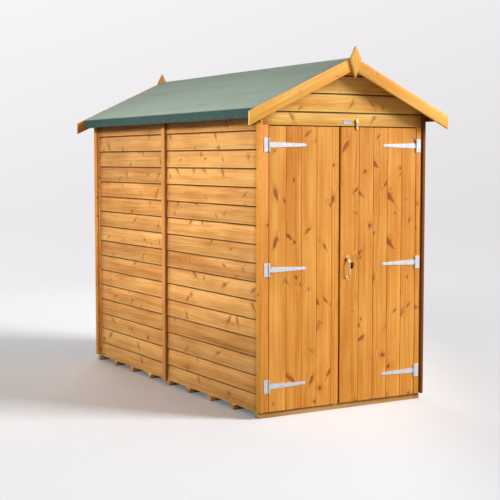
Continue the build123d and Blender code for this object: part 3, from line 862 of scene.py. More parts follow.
def make_finishes(c, boards):
    """Make all the finishes, in the colours c."""
    wall_lap = (WALL_LOW.z, boards.pitch)
    FINISHES.update({
        "wall": pine("golden pine wall boards", c.wall_light, c.wall_deep, c.wall_knot,
                     knot_spacing=0.34, knot_size=0.95, knot_share=0.68, contrast=1.25,
                     lap=wall_lap, end_shade=0.085),
        "gable": pine("golden pine gable boards", c.trim_light, c.door_deep, c.wall_knot,
                      knot_spacing=0.34, knot_size=0.95, knot_share=0.62, contrast=1.25,
                      lap=wall_lap, end_shade=0.085),
        "door": pine("golden pine door planks", c.door_light, c.door_deep, c.door_knot,
                     knot_spacing=0.28, knot_size=1.1, knot_share=0.85, contrast=1.05,
                     tone_spread=0.24, ring_share=0.45, edge_light_and_shade=0.6),
        "trim": pine("pale planed pine", c.trim_light, c.trim_deep, c.door_knot,
                     knot_spacing=0.55, knot_size=0.6, knot_share=0.6, contrast=1.3,
                     tone_spread=0.2, ring_share=0.25, edge_light_and_shade=0.6),
        # The rear barge boards take painted shade on their faces that look forward
        "rear trim": pine("browner planed pine", c.trim_light, c.trim_deep, c.door_knot,
                          knot_spacing=0.55, knot_size=0.6, tone_spread=0.2,
                          painted_shade=c.wall_knot, shade_from=-1.0, shade_share=0.7),
        # Painted shade on the jambs' right edge, the right corner strip and the cover strips'
        # forward edges
        "jamb": pine("golden pine jambs", c.door_light, c.door_deep, c.door_knot,
                     knot_spacing=0.40, knot_size=0.7, contrast=1.05, tone_spread=0.2,
                     ring_share=0.45, painted_shade=c.painted_shade, shade_from=0.573, shade_share=0.9),
        "corner": pine("golden pine corner strips", c.door_light, c.door_deep, c.wall_knot,
                       knot_spacing=0.40, knot_size=0.6, tone_spread=0.2, painted_shade=c.painted_shade,
                       shade_from=0.5, shade_share=0.92, shade_left=True),
        "strip": pine("golden pine cover strips", c.wall_light, c.wall_deep, c.wall_knot,
                      knot_spacing=0.40, knot_size=0.6, tone_spread=0.2, painted_shade=c.painted_shade,
                      shade_from=-1.0, shade_share=0.45),
        "meeting": pine("golden pine meeting strip", c.door_light, c.door_deep, c.door_knot,
                        knot_spacing=0.40, knot_size=0.6, tone_spread=0.2),
        "framing": pine("sawn framing", c.frame_light, c.frame_deep, c.wall_knot,
                        knot_spacing=0.42, knot_size=0.8, rough=0.75),
        # The eave battens are coloured dark as painted shade
        "eave": pine("shaded eave battens", c.wall_knot, c.painted_shade, c.painted_shade, knot_spacing=0.42,
                     knot_size=0.8, rough=0.8),
        "joist": pine("treated joists", c.joist_light, c.joist_deep, c.wall_knot,
                      knot_spacing=0.42, knot_size=0.7, rough=0.8),
        "felt": mineral_felt("green mineral felt", c.felt, c.felt_fold),
        "zinc": plated_metal("bright zinc", c.zinc, rough=0.32, metallic=0.45, spangle=0.06),
        "nail": plated_metal("dull nails", c.nail, rough=0.6, metallic=0.3),
        "clout": plated_metal("dull felt nails", c.clout, rough=0.7, metallic=0.3),
        "brass": plated_metal("pale brass", c.brass, rough=0.28, spangle=0.02),
        "lock": enamel("dark lock paint", c.lock, rough=0.4),
        "plate": enamel("pale grey enamel", c.plate),
    })


# Boards and planks

def depth_at(height, boards):
    """How far the face of the overlap boards stands out at a height above the first butt."""
    share = (height % boards.pitch) / boards.pitch
    return boards.butt + (boards.thin_edge - boards.butt) * share


def overlap_wall(name, boards, axis, start, end, back, outward, low, high):
    """Overlap boards that cover a wall from one height to another.

    axis is the way the boards run, 0 for X and 1 for Y, and start and end are where
    they end on it. back is where the studs' outer face lies on the other axis, and
    outward is 1 or -1. Every wall's boards keep step with the foot of the side walls.
    """
    other = 1 - axis
    foot = WALL_LOW.z
    count = int((high - foot) / boards.pitch) + 1
    first = int((low - foot) / boards.pitch + 0.001)
    taper = (boards.butt - boards.thin_edge) / boards.pitch
    corner_low = [0.0, 0.0, foot]
    corner_high = [0.0, 0.0, foot + boards.pitch + boards.overlap]
    corner_low[axis], corner_high[axis] = start, end
    face = back + outward * boards.butt
    corner_low[other], corner_high[other] = min(back, face), max(back, face)
    board = bar(name, corner_low, corner_high)
    push = [0.0, 0.0, 0.0]
    middle_z = foot + boards.pitch / 2
    middle_out = (back + face) / 2
    with Shaping(board):
        pick_points(board, lambda p: p.z < middle_z and (p[other] - middle_out) * outward < 0)
        push[other] = outward * (boards.thin_edge + boards.clearance)
        bpy.ops.transform.translate(value=push)
        pick_points(board, lambda p: p.z > middle_z and (p[other] - middle_out) * outward > 0)
        push[other] = -outward * (boards.butt - boards.thin_edge + taper * boards.overlap)
        bpy.ops.transform.translate(value=push)
    with Shaping(board, "EDGE"):
        pick_edges(board, lambda a, b: abs(a[axis] - b[axis]) > boards.station)
        bpy.ops.mesh.subdivide(number_cuts=int((end - start) / boards.station))
    copies = [copy_moved(board, (0.0, 0.0, index * boards.pitch))
              for index in range(first, count)]
    remove(board)
    wall = join(name, copies)
    with Shaping(wall):
        pick_points(wall, lambda p: start + boards.joint < p[axis] < end - boards.joint)
        bpy.ops.transform.vertex_random(offset=boards.waver, seed=first + count)
    return wall


def cut_to_roof(wall):
    """Saw an end wall's boards to the two slopes of the roof."""
    for side in (-1, 1):
        slope_up = Vector((side * SLOPE, 0.0, 1.0)).normalized()
        cut_above(wall, (0.0, 0.0, ROOF_UNDER), slope_up)


def plank_row(name, boards, edges, low, high, axis, both_faces=True, hole=None):
    """Tongued planks side by side, chamfered beside each joint.

    edges are where the planks meet on the given axis, low and high the corners of
    the whole row, and hole is the place of a keyhole. The joints are chamfered on both
    faces or on the upper one only.
    """
    planks = []
    for near, far in zip(edges, edges[1:]):
        corner_low = list(low)
        corner_high = list(high)
        corner_low[axis] = near + boards.joint / 2
        corner_high[axis] = far - boards.joint / 2
        plank = bar(name, corner_low, corner_high)
        inner = [place for place in (near, far) if place not in (edges[0], edges[-1])]
        middle_z = (low[2] + high[2]) / 2

        def at_joint(a, b, inner=inner, middle_z=middle_z):
            meets = any(abs(a[axis] - place) < boards.joint and abs(b[axis] - place) < boards.joint
                        for place in inner)
            lengthwise = (b - a).length > boards.door_face
            return meets and lengthwise and (both_faces or a.z > middle_z)

        with Shaping(plank, "EDGE"):
            pick_edges(plank, at_joint)
            bpy.ops.mesh.bevel(offset=boards.groove, segments=1, clamp_overlap=False)
        if hole is not None and near < hole[axis] < far:
            cut_keyhole(plank, hole, boards)
        planks.append(plank)
    row = join(name, planks)
    ease(row, boards.eased_edge / 3)
    return row


def cut_keyhole(plank, place, boards):
    """Cut the upright slot that the key goes through."""
    radius = boards.keyhole_width / 2
    stretch = (boards.keyhole_length - boards.keyhole_width) / 2
    deselect_all()
    bpy.ops.mesh.primitive_cylinder_add(vertices=32, radius=radius, depth=4 * boards.butt,
                                        location=place, rotation=(pi / 2, 0.0, 0.0))
    cutter = bpy.context.object
    settle(cutter)
    with Shaping(cutter):
        for side in (-1, 1):
            pick_points(cutter, lambda p, side=side: (p.z - place[2]) * side > 0)
            bpy.ops.transform.translate(value=(0.0, 0.0, side * stretch))
    apply_modifier(plank, "BOOLEAN", object=cutter, operation="DIFFERENCE", solver="EXACT")
    remove(cutter)


def eased_copy(node, radius):
    """A copy of a node with its triangles merged and its edges eased."""
    name = node + "_eased"
    piece = bpy.data.objects.new(name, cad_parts[node].data.copy())
    bpy.context.scene.collection.objects.link(piece)
    with Shaping(piece):
        bpy.ops.mesh.select_all(action="SELECT")
        bpy.ops.mesh.remove_doubles(threshold=TOUCHING)
        bpy.ops.mesh.dissolve_limited(angle_limit=radians(0.5))
    if radius:
        ease(piece, radius)
    return piece


def run_of(start, end, first, step):
    """Places from start to end where planks meet, the first of them at a given place.

    A last plank narrower than an eighth of the others is left to its neighbour.
    """
    edges = [start]
    place = first
    while place < end - step / 8:
        edges.append(place)
        place += step
    return edges + [end]


# Fixings

def head(name, radius, stand, sides):
    """A small round head with a dished middle, facing -Y at the origin."""
    ring = 0.3 * radius
    rise = 0.35 * stand
    dish = 0.5 * stand
    deselect_all()
    bpy.ops.mesh.primitive_cylinder_add(vertices=sides, radius=radius, depth=2 * stand,
                                        rotation=(pi / 2, 0.0, 0.0))
    piece = bpy.context.object
    piece.name = name
    settle(piece)
    with Shaping(piece, "FACE"):
        pick_faces(piece, lambda middle, normal: normal.y < -0.9)
        bpy.ops.mesh.inset(thickness=ring)
        bpy.ops.transform.translate(value=(0.0, -rise, 0.0))
        bpy.ops.mesh.inset(thickness=ring)
        bpy.ops.transform.translate(value=(0.0, dish, 0.0))
        pick_faces(piece, lambda middle, normal: normal.y > 0.9)
        bpy.ops.mesh.delete(type="ONLY_FACE")
        bpy.ops.mesh.select_all(action="DESELECT")
        bpy.ops.mesh.select_mode(type="EDGE")
        bpy.ops.mesh.select_non_manifold()
        bpy.ops.mesh.edge_face_add()
    return piece


def heads_at(name, head_piece, places):
    """Copies of a head, each turned to face its own way at its own place."""
    copies = []
    for place, facing in places:
        turn = Vector((0.0, -1.0, 0.0)).rotation_difference(Vector(facing)).to_matrix()
        twin = copy_moved(head_piece, (0.0, 0.0, 0.0))
        twin.data.transform(Matrix.Translation(place) @ turn.to_4x4())
        copies.append(twin)
    return join(name, copies)


def stud_places(start, end, count, width):
    """Middles of the studs of a wall, the outer ones flush with its ends."""
    pitch = (end - start - width) / (count - 1)
    return [start + width / 2 + index * pitch for index in range(count)]


def side_wall_nails(boards, fixings):
    """Where the side walls' nails go, with the way that each faces."""
    places = []
    tilt = (boards.butt - boards.thin_edge) / boards.pitch
    for place in ("front", "rear"):
        low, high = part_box(f"left_wall_{place}_cladding")
        for y in stud_places(low.y, high.y, boards.studs_per_panel, boards.stud_width):
            for index in range(int((high.z - low.z) / boards.pitch) + 1):
                z = low.z + index * boards.pitch + fixings.nail_above_butt
                if z > high.z - fixings.nail_above_butt:
                    continue
                x = low.x + tilt * fixings.nail_above_butt
                for side in (-1, 1):
                    places.append(((-side * x, y, z), (side, 0.0, tilt)))
    return places


def end_wall_nails(boards, fixings, low_z, y, outward, columns):
    """Where an end wall's nails go, inside the slopes of the roof."""
    places = []
    tilt = (boards.butt - boards.thin_edge) / boards.pitch
    margin = boards.stud_width / 2
    for index in range(int((ROOF_UNDER - WALL_LOW.z) / boards.pitch) + 1):
        z = WALL_LOW.z + index * boards.pitch + fixings.nail_above_butt
        for x in columns:
            if z < low_z + margin or z > ROOF_UNDER - SLOPE * abs(x) - margin:
                continue
            places.append(((x, y - outward * tilt * fixings.nail_above_butt, z),
                           (0.0, outward, tilt)))
    return places


# Operators

class SHED_OT_finishes(bpy.types.Operator):
    """Make the wood, felt, metal and paint finishes"""
    bl_idname = "shed.finishes"
    bl_label = "Finishes"

    def execute(self, context):
        make_finishes(context.scene.shed_colours, context.scene.shed_boards)
        return {"FINISHED"}


class SHED_OT_overlap_boards(bpy.types.Operator):
    """Clad the walls and gables with overlap boards"""
    bl_idname = "shed.overlap_boards"
    bl_label = "Overlap boards"

    def execute(self, context):
        boards = context.scene.shed_boards
        for side, outward in (("left", -1), ("right", 1)):
            for place in ("front", "rear"):
                node = f"{side}_wall_{place}_cladding"
                low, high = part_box(node)
                back = high.x if outward < 0 else low.x
                wall = overlap_wall(node.replace("cladding", "boards"), boards, 1, low.y, high.y,
                                    back, outward, low.z, high.z)
                cut_above(wall, (0.0, 0.0, high.z), (0.0, 0.0, 1.0))
                ease(wall, boards.eased_edge)
                hand_over_wood(wall, FINISHES["wall"], SHELL, "pine", node)
        low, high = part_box("back_wall_cladding")
        wall = overlap_wall("back_wall_boards", boards, 0, low.x, high.x, low.y, 1, low.z, high.z)
        cut_to_roof(wall)
        ease(wall, boards.eased_edge)
        hand_over_wood(wall, FINISHES["wall"], SHELL, "pine", "back_wall_cladding")
        low, high = GABLE_LOW, GABLE_HIGH
        wall = overlap_wall("front_gable_boards", boards, 0, low.x, high.x, high.y, -1,
                            low.z, high.z)
        cut_to_roof(wall)
        cut_above(wall, (0.0, 0.0, low.z), (0.0, 0.0, -1.0))
        ease(wall, boards.eased_edge)
        hand_over_wood(wall, FINISHES["gable"], SHELL, "pine", "front_gable_cladding")
        return {"FINISHED"}


class SHED_OT_planks(bpy.types.Operator):
    """Make the tongued planks of the doors, the floor and the roof"""
    bl_idname = "shed.planks"
    bl_label = "Planks"

    def execute(self, context):
        boards = context.scene.shed_boards
        self.doors(boards)
        self.floor(boards)
        self.roof(boards)
        return {"FINISHED"}

    def doors(self, boards):
        low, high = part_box("left_door_boards")
        edges = run_of(-high.x, -low.x, -high.x + boards.left_first, boards.door_face)
        edges = [-place for place in reversed(edges)]
        planks = plank_row("left_door_planks", boards, edges, low, high, 0)
        hand_over_wood(planks, FINISHES["door"], LEFT_DOOR, "pine", "left_door_boards",
                       smooth=20)
        low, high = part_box("right_door_boards")
        lock_low, lock_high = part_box("rim_lock")
        edges = run_of(low.x, high.x, low.x + boards.right_first, boards.door_face)
        hole = (barrel_middle(), (low.y + high.y) / 2, (lock_low.z + lock_high.z) / 2)
        planks = plank_row("right_door_planks", boards, edges, low, high, 0, hole=hole)
        hand_over_wood(planks, FINISHES["door"], RIGHT_DOOR, "pine", "right_door_boards",
                       smooth=20)

    def floor(self, boards):
        low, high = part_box("floor_boards")
        count = int((high.x - low.x) // boards.floor_face)
        first = -count * boards.floor_face / 2
        edges = run_of(low.x, high.x, first, boards.floor_face)
        planks = plank_row("floor_planks", boards, edges, low, high, 0, both_faces=False)
        hand_over_wood(planks, FINISHES["framing"], SHELL, "pine", "floor_boards", smooth=20)

    def roof(self, boards):
        """Lay each slope's planks flat from the ridge outwards, then tilt them."""
        for side, name in ((-1, "left"), (1, "right")):
            node = f"{name}_roof_boards"
            low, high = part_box(node)
            length = (high.x - low.x) / cos(ROOF_ANGLE) - boards.joint
            thickness = roof_board_thickness()
            edges = run_of(0.0, length, boards.roof_face, boards.roof_face)
            planks = plank_row(f"{name}_roof_planks", boards, edges, (0.0, low.y, 0.0),
                               (length, high.y, thickness), 0, both_faces=False)
            planks.data.transform(Matrix.Rotation(pi, 4, "Y"))
            if side > 0:
                planks.data.transform(Matrix.Rotation(pi, 4, "Z"))
                planks.data.transform(Matrix.Translation((0.0, low.y + high.y, 0.0)))
            planks.rotation_euler = (0.0, side * ROOF_ANGLE, 0.0)
            planks.location = (0.0, 0.0, high.z)
            settle(planks)
            hand_over_wood(planks, FINISHES["framing"], SHELL, "pine", node, smooth=20)


def barrel_middle():
    """Where the key barrel lies on X. It is the part of the lock that reaches forward."""
    points = [v.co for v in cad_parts["rim_lock"].data.vertices]
    front = min(p.y for p in points)
    barrel = [p.x for p in points if p.y < front + LEVEL]
    return (min(barrel) + max(barrel)) / 2


def roof_board_thickness():
    """Thickness of the roof boards, square to the slope."""
    points = [v.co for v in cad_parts["left_roof_boards"].data.vertices]
    at_ridge = [p.z for p in points if abs(p.x) < LEVEL]
    return (max(at_ridge) - min(at_ridge)) * cos(ROOF_ANGLE)


class SHED_OT_timbers(bpy.types.Operator):
    """Ease the edges of the framing, strips, barge boards and finials"""
    bl_idname = "shed.timbers"
    bl_label = "Timbers"

    def execute(self, context):
        radius = context.scene.shed_boards.eased_edge
        groups = (
            ("framing", SHELL, "pine", ("left_wall_studs", "right_wall_studs", "left_wall_rails",
             "right_wall_rails", "back_wall_rails", "back_wall_studs", "back_gable_rafters",
             "front_wall_studs", "door_header", "front_gable_rafters", "roof_purlins")),
            ("eave", SHELL, "pine", ("eave_battens",)),
            ("joist", SHELL, "pine", ("floor_joists",)),
            ("strip", SHELL, "pine", ("side_joint_strips",)),
            ("corner", SHELL, "pine", ("front_corner_strips", "rear_corner_strips")),
            ("jamb", SHELL, "pine", ("front_jamb_boards",)),
            ("trim", SHELL, "pale_pine", ("front_barge_boards", "front_finial")),
            ("rear trim", SHELL, "pale_pine", ("rear_barge_boards", "rear_finial")),
            ("framing", LEFT_DOOR, "pine", ("left_door_framing",)),
            ("meeting", LEFT_DOOR, "pine", ("left_door_meeting_strip",)),
            ("framing", RIGHT_DOOR, "pine", ("right_door_framing",)),
        )
        for finish, body, slot, nodes in groups:
            for node in nodes:
                hand_over_wood(eased_copy(node, radius), FINISHES[finish], body, slot, node)
        return {"FINISHED"}


class SHED_OT_felt(bpy.types.Operator):
    """Lay the felt over the ridge and turn it down over the eaves"""
    bl_idname = "shed.felt"
    bl_label = "Roof felt"

    def execute(self, context):
        sizes = context.scene.shed_roof
        reach = EAVE / cos(ROOF_ANGLE)
        length = FELT_HIGH.y - FELT_LOW.y
        middle = (FELT_HIGH.y + FELT_LOW.y) / 2
        ridge = (0.0, middle, RIDGE)
        eave_z = RIDGE - EAVE * SLOPE
        deselect_all()
        bpy.ops.mesh.primitive_grid_add(
            x_subdivisions=2 * int(reach / sizes.mesh_step),
            y_subdivisions=int(length / sizes.mesh_step), size=1.0, location=ridge)
        felt = bpy.context.object
        felt.name = "roof_felt_sheet"
        felt.scale = (2 * reach, length, 1.0)
        settle(felt)
        with Shaping(felt):
            for side in (-1, 1):
                pick_points(felt, lambda p, side=side: p.x * side > sizes.thickness)
                bpy.ops.transform.rotate(value=-side * ROOF_ANGLE, orient_axis="Y",
                                         center_override=ridge)
            for side in (-1, 1):
                pick_points(felt, lambda p, side=side: p.x * side > EAVE - sizes.thickness)
                for drop in (0.25, 0.75):  # shares of the turned edge
                    move = (0.0, 0.0, -drop * (eave_z - FELT_LOW.z))
                    bpy.ops.mesh.extrude_region_move(TRANSFORM_OT_translate={"value": move})
        with Shaping(felt, "EDGE"):
            pick_edges(felt, lambda a, b: abs(abs(a.x) - EAVE) < sizes.thickness
                       and abs(a.z - eave_z) < sizes.thickness
                       and abs(b.z - eave_z) < sizes.thickness)
            bpy.ops.mesh.bevel(offset=sizes.fold_radius, segments=4)
            pick_edges(felt, lambda a, b: abs(a.x) < sizes.thickness
                       and abs(b.x) < sizes.thickness)
            bpy.ops.mesh.bevel(offset=sizes.fold_radius, segments=3)
        self.ripple(felt, sizes)
        with Shaping(felt):
            bpy.ops.mesh.select_all(action="SELECT")
            bpy.ops.mesh.normals_make_consistent(inside=False)
            shape = bmesh.from_edit_mesh(felt.data)
            shape.faces.ensure_lookup_table()
            top = max(shape.faces, key=lambda face: face.calc_center_median().z)
            if top.normal.z < 0:
                bpy.ops.mesh.flip_normals()
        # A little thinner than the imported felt, to keep its ripples off the boards
        apply_modifier(felt, "SOLIDIFY", thickness=0.9 * sizes.thickness, offset=-1.0)
        hand_over(felt, FINISHES["felt"], SHELL, "roof_felt", "left_roof_felt", "right_roof_felt",
                  smooth=50)
        return {"FINISHED"}

    def ripple(self, felt, sizes):
        """Lift the felt in low waves, but not along its edges."""
        held = 1.5 * sizes.mesh_step
        eave_play = 0.01
        weights = felt.vertex_groups.new(name="free")
        for point in felt.data.vertices:
            inward = min(point.co.y - FELT_LOW.y, FELT_HIGH.y - point.co.y)
            inward = min(inward, EAVE - abs(point.co.x) + eave_play)
            weights.add([point.index], min(1.0, max(0.0, inward / held)), "REPLACE")
        waves = bpy.data.textures.new("felt waves", "CLOUDS")
        waves.noise_scale = sizes.ripple_length
        apply_modifier(felt, "DISPLACE", texture=waves, strength=sizes.ripple, mid_level=0.35,
                       vertex_group="free", texture_coords="LOCAL")


class SHED_OT_nails(bpy.types.Operator):
    """Drive the nails of the cladding and the felt"""
    bl_idname = "shed.nails"
    bl_label = "Nails"

    def execute(self, context):
        boards = context.scene.shed_boards
        fixings = context.scene.shed_fixings
        roof = context.scene.shed_roof
        nail = head("nail", fixings.nail_radius, fixings.nail_stand, sides=8)
        nails = heads_at("side_wall_nails", nail, side_wall_nails(boards, fixings))
        hand_over(nails, FINISHES["nail"], SHELL, "zinc")
        low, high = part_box("back_wall_cladding")
        columns = stud_places(low.x, high.x, boards.back_studs, boards.stud_width)
        places = end_wall_nails(boards, fixings, WALL_LOW.z, high.y, 1, columns)
        hand_over(heads_at("back_wall_nails", nail, places), FINISHES["nail"], SHELL, "zinc")
        low, high = GABLE_LOW, GABLE_HIGH
        columns = stud_places(low.x, high.x, boards.gable_studs, boards.stud_width)
        places = end_wall_nails(boards, fixings, low.z, low.y, -1, columns)
        hand_over(heads_at("front_gable_nails", nail, places), FINISHES["nail"], SHELL, "zinc")
        remove(nail)
        clout = head("clout", fixings.clout_radius, fixings.nail_stand, sides=10)
        places = []
        length = FELT_HIGH.y - FELT_LOW.y
        count = int(length / roof.nail_spacing)
        for index in range(count):
            y = FELT_LOW.y + (index + 0.5) * length / count
            z = FELT_LOW.z + roof.nail_above_edge
            places += [((side * EAVE, y, z), (side, 0.0, 0.0)) for side in (-1, 1)]
        hand_over(heads_at("felt_clouts", clout, places), FINISHES["clout"], SHELL, "zinc")
        remove(clout)
        return {"FINISHED"}


class SHED_OT_ironmongery(bpy.types.Operator):
    """Smooth the hinges, lock, bolts, handle and turn button, and screw them on"""
    bl_idname = "shed.ironmongery"
    bl_label = "Ironmongery"

    def execute(self, context):
        fixings = context.scene.shed_fixings
        for node, finish, body, slot in (
                ("hinge_plates", "zinc", SHELL, "zinc"),
                ("left_door_hinge_straps", "zinc", LEFT_DOOR, "zinc"),
                ("right_door_hinge_straps", "zinc", RIGHT_DOOR, "zinc"),
                ("door_bolts", "zinc", LEFT_DOOR, "zinc"),
                ("lock_keep", "lock", LEFT_DOOR, "lock_steel"),
                ("rim_lock", "lock", RIGHT_DOOR, "lock_steel"),
                ("pull_handle", "brass", RIGHT_DOOR, "brass"),
                ("turn_button", "brass", "turn_button", "brass")):
            hand_over(eased_copy(node, 0.0), FINISHES[finish], body, slot, node, smooth=40)
        screw = head("screw", fixings.screw_radius, fixings.screw_stand, sides=12)
        self.hinge_screws(screw)
        remove(screw)
        return {"FINISHED"}

    def hinge_screws(self, screw):
        """Screws of the hinge plates on the jambs and of the straps on the doors."""
        forward = (0.0, -1.0, 0.0)
        leaf = 0.003
        plate_inset = 0.0125
        plate_steps = (-0.030, 0.0, 0.030)
        strap_steps = (0.040, 0.095, 0.150, 0.205, 0.240)
        for node, body, name in (("hinge_plates", SHELL, "plate_screws"),
                                 ("left_door_hinge_straps", LEFT_DOOR, "left_strap_screws"),
                                 ("right_door_hinge_straps", RIGHT_DOOR, "right_strap_screws")):
            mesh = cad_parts[node].data.copy()
            shape = bmesh.new()
            shape.from_mesh(mesh)
            bmesh.ops.remove_doubles(shape, verts=shape.verts, dist=TOUCHING)
            shape.to_mesh(mesh)
            shape.free()
            places = []
            for numbers in loose_parts(mesh):
                points = np.array([mesh.vertices[number].co for number in numbers])
                low = points.min(axis=0)
                high = points.max(axis=0)
                side = -1 if (low[0] + high[0]) < 0 else 1
                outer = low[0] if side < 0 else high[0]
                seat = high[1] - leaf
                middle = (low[2] + high[2]) / 2
                if body == SHELL:
                    x = outer - side * plate_inset
                    places += [((x, seat, middle + step), forward) for step in plate_steps]
                else:
                    places += [((outer - side * step, seat, middle), forward)
                               for step in strap_steps]
            bpy.data.meshes.remove(mesh)
            hand_over(heads_at(name, screw, places), FINISHES["zinc"], body, "zinc")


class SHED_OT_plate(bpy.types.Operator):
    """Fix a small bare plate on the board over the doors"""
    bl_idname = "shed.plate"
    bl_label = "Bare plate"

    def execute(self, context):
        boards = context.scene.shed_boards
        left, right = -0.015, 0.044
        middle_z, half_height = 1.733, 0.012
        thickness = 0.0022
        gap = 0.0008
        corner = 0.004
        rim, sunk = 0.0016, 0.0005
        eased = 0.0003
        back = GABLE_HIGH.y - depth_at(middle_z - WALL_LOW.z, boards) - gap
        plate = bar("bare_plate", (left, back - thickness, middle_z - half_height),
                    (right, back, middle_z + half_height))
        with Shaping(plate, "EDGE"):
            pick_edges(plate, lambda a, b: abs(a.y - b.y) > LEVEL)
            bpy.ops.mesh.bevel(offset=corner, segments=4)
        with Shaping(plate, "FACE"):
            pick_faces(plate, lambda middle, normal: normal.y < -0.9)
            bpy.ops.mesh.inset(thickness=rim)
            bpy.ops.transform.translate(value=(0.0, sunk, 0.0))
        ease(plate, eased)
        hand_over(plate, FINISHES["plate"], SHELL, "zinc")
        return {"FINISHED"}


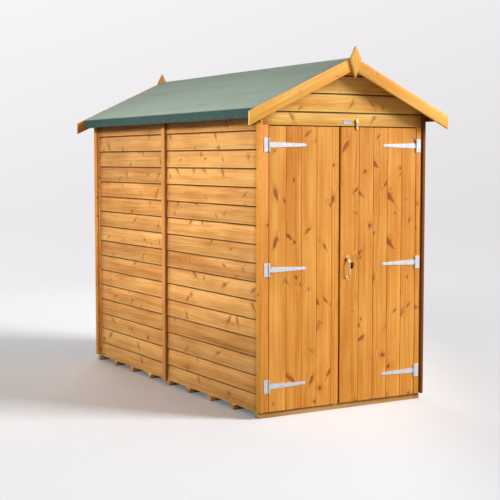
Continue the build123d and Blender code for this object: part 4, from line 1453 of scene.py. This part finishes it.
class SHED_OT_stage(bpy.types.Operator):
    """Set the camera, a pale floor and soft light"""
    bl_idname = "shed.stage"
    bl_label = "Stage"

    def execute(self, context):
        stage = context.scene.shed_stage
        self.camera(context, stage)
        floor = self.floor(stage)
        self.world(context, stage)
        self.lamp("key light", place=(9.8, -10.3, 8.7), target=(0.0, -0.8, 1.0),
                  size=(5.9, 5.9), power=stage.key)
        side = self.lamp("side light", place=(-4.0, -0.3, 3.3), target=(-0.6, 0.05, 1.0),
                         size=(3.4, 0.9), power=stage.side, spread=46.0)
        self.shield(side, floor)
        back_share = 0.08
        self.lamp("back light", place=(2.0, 8.0, 5.5), target=(0.0, 1.0, 1.0),
                  size=(4.0, 4.0), power=stage.key * back_share)
        context.scene.view_settings.view_transform = "Standard"
        return {"FINISHED"}

    def camera(self, context, stage):
        data = bpy.data.cameras.new("camera")
        data.lens = stage.camera_lens
        data.sensor_width = 36.0
        camera = bpy.data.objects.new("camera", data)
        context.scene.collection.objects.link(camera)
        camera.location = stage.camera_place
        camera.rotation_euler = (radians(90) - stage.camera_dip, 0.0, -stage.camera_turn)
        context.scene.camera = camera

    def lamp(self, name, place, target, size, power, spread=180.0):
        """An area lamp at a place, aimed at a target. spread is in degrees."""
        data = bpy.data.lights.new(name, "AREA")
        data.energy = power
        data.shape = "RECTANGLE"
        data.size, data.size_y = size
        data.spread = radians(spread)
        lamp = bpy.data.objects.new(name, data)
        bpy.context.scene.collection.objects.link(lamp)
        lamp.location = place
        aim = Vector(target) - Vector(place)
        lamp.rotation_euler = aim.to_track_quat("-Z", "Y").to_euler()
        return lamp

    def shield(self, lamp, piece):
        """Keep the lamp's light off one piece, as a studio flag would."""
        shielded = bpy.data.collections.new("kept off by " + lamp.name)
        shielded.objects.link(piece)
        shielded.collection_objects[0].light_linking.link_state = "EXCLUDE"
        lamp.light_linking.receiver_collection = shielded

    def floor(self, stage):
        """A pale floor that fades into the backdrop and throws back less than it shows."""
        deselect_all()
        bpy.ops.mesh.primitive_plane_add(size=stage.floor_size)
        floor = bpy.context.object
        floor.name = "floor"
        f = Finish("pale floor")
        f.surface.inputs["Roughness"].default_value = 0.9
        f.surface.inputs["Specular IOR Level"].default_value = 0.1
        place = f.coordinates("Object")
        away = f.add("ShaderNodeVectorMath", place, operation="LENGTH")
        seen = f.add("ShaderNodeLightPath").outputs["Is Camera Ray"]
        # Painted shade: the floor grows darker in front of the doors and to the right of them
        aside = f.between(f.along(place, stage.floor_aside), stage.aside_start, stage.aside_end)
        shown = f.mix(aside, solid_colour(stage.floor_colour),
                      solid_colour(stage.floor_colour, stage.aside_dim))
        thrown = solid_colour(stage.floor_colour, stage.floor_dim)
        f.feed(f.surface.inputs["Base Color"], f.mix(seen, thrown, shown))
        f.surface.inputs["Emission Color"].default_value = (1.0, 1.0, 1.0, 1.0)
        f.feed(f.surface.inputs["Emission Strength"],
               f.calc("MULTIPLY", seen, stage.floor_glow))
        fade = f.between(away.outputs["Value"], stage.fade_start, stage.fade_end)
        clear = f.add("ShaderNodeBsdfTransparent")
        both = f.add("ShaderNodeMixShader", f.calc("MULTIPLY", fade, seen),
                     f.surface.outputs[0], clear.outputs[0])
        f.feed(f.tree.nodes["Material Output"].inputs["Surface"], both.outputs[0])
        floor.data.materials.append(f.material)
        return floor

    def world(self, context, stage):
        """Even white light on the shed, and a pale sweep of grey behind it."""
        world = bpy.data.worlds.new("studio")
        context.scene.world = world
        world.use_nodes = True
        nodes = Nodes(world.node_tree)
        light = nodes.tree.nodes["Background"]
        light.inputs["Color"].default_value = (1.0, 1.0, 1.0, 1.0)
        light.inputs["Strength"].default_value = stage.ambient
        darkest, lightest = 0.94, 1.24
        way = nodes.coordinates("Generated")
        rise = nodes.calc("ABSOLUTE", nodes.calc("ADD", nodes.split(way)[2], stage.horizon))
        tone = nodes.calc("MULTIPLY_ADD", rise, stage.horizon_rise,
                          nodes.along(way, stage.sweep))
        tone = nodes.calc("ADD", tone, 1.0)
        tone = nodes.add("ShaderNodeClamp", tone, darkest, lightest).outputs[0]
        shown = nodes.add("ShaderNodeBackground", solid_colour(stage.backdrop), tone)
        path = nodes.add("ShaderNodeLightPath").outputs
        seen = nodes.calc("MAXIMUM", path["Is Camera Ray"], path["Is Glossy Ray"])
        seen = nodes.calc("MAXIMUM", seen, path["Is Transmission Ray"])
        mixed = nodes.add("ShaderNodeMixShader", seen, light.outputs[0], shown.outputs[0])
        nodes.feed(nodes.tree.nodes["World Output"].inputs["Surface"], mixed.outputs[0])


class SHED_PT_panel(bpy.types.Panel):
    """Lists the steps of the shed"""
    bl_idname = "SHED_PT_panel"
    bl_label = "Garden shed"
    bl_space_type = "VIEW_3D"
    bl_region_type = "UI"
    bl_category = "Shed"

    def draw(self, context):
        for step in STEPS:
            self.layout.operator(step.bl_idname)


STEPS = (SHED_OT_finishes, SHED_OT_overlap_boards, SHED_OT_planks, SHED_OT_timbers,
         SHED_OT_felt, SHED_OT_nails, SHED_OT_ironmongery, SHED_OT_plate, SHED_OT_stage)
SETTINGS = {"shed_boards": ShedBoardSizes, "shed_roof": ShedRoofSizes,
            "shed_fixings": ShedFixingSizes, "shed_colours": ShedColours,
            "shed_stage": ShedStageSizes}


def register():
    for settings in SETTINGS.values():
        bpy.utils.register_class(settings)
    for step in STEPS:
        bpy.utils.register_class(step)
    bpy.utils.register_class(SHED_PT_panel)
    for name, settings in SETTINGS.items():
        setattr(bpy.types.Scene, name, bpy.props.PointerProperty(type=settings))


def unregister():
    for name in SETTINGS:
        delattr(bpy.types.Scene, name)
    bpy.utils.unregister_class(SHED_PT_panel)
    for kind in (*reversed(STEPS), *reversed(SETTINGS.values())):
        bpy.utils.unregister_class(kind)


def main():
    """Dress the shed."""
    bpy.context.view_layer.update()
    register()
    for step in STEPS:
        group, name = step.bl_idname.split(".")
        getattr(getattr(bpy.ops, group), name)()


if __name__ == "__main__":
    main()
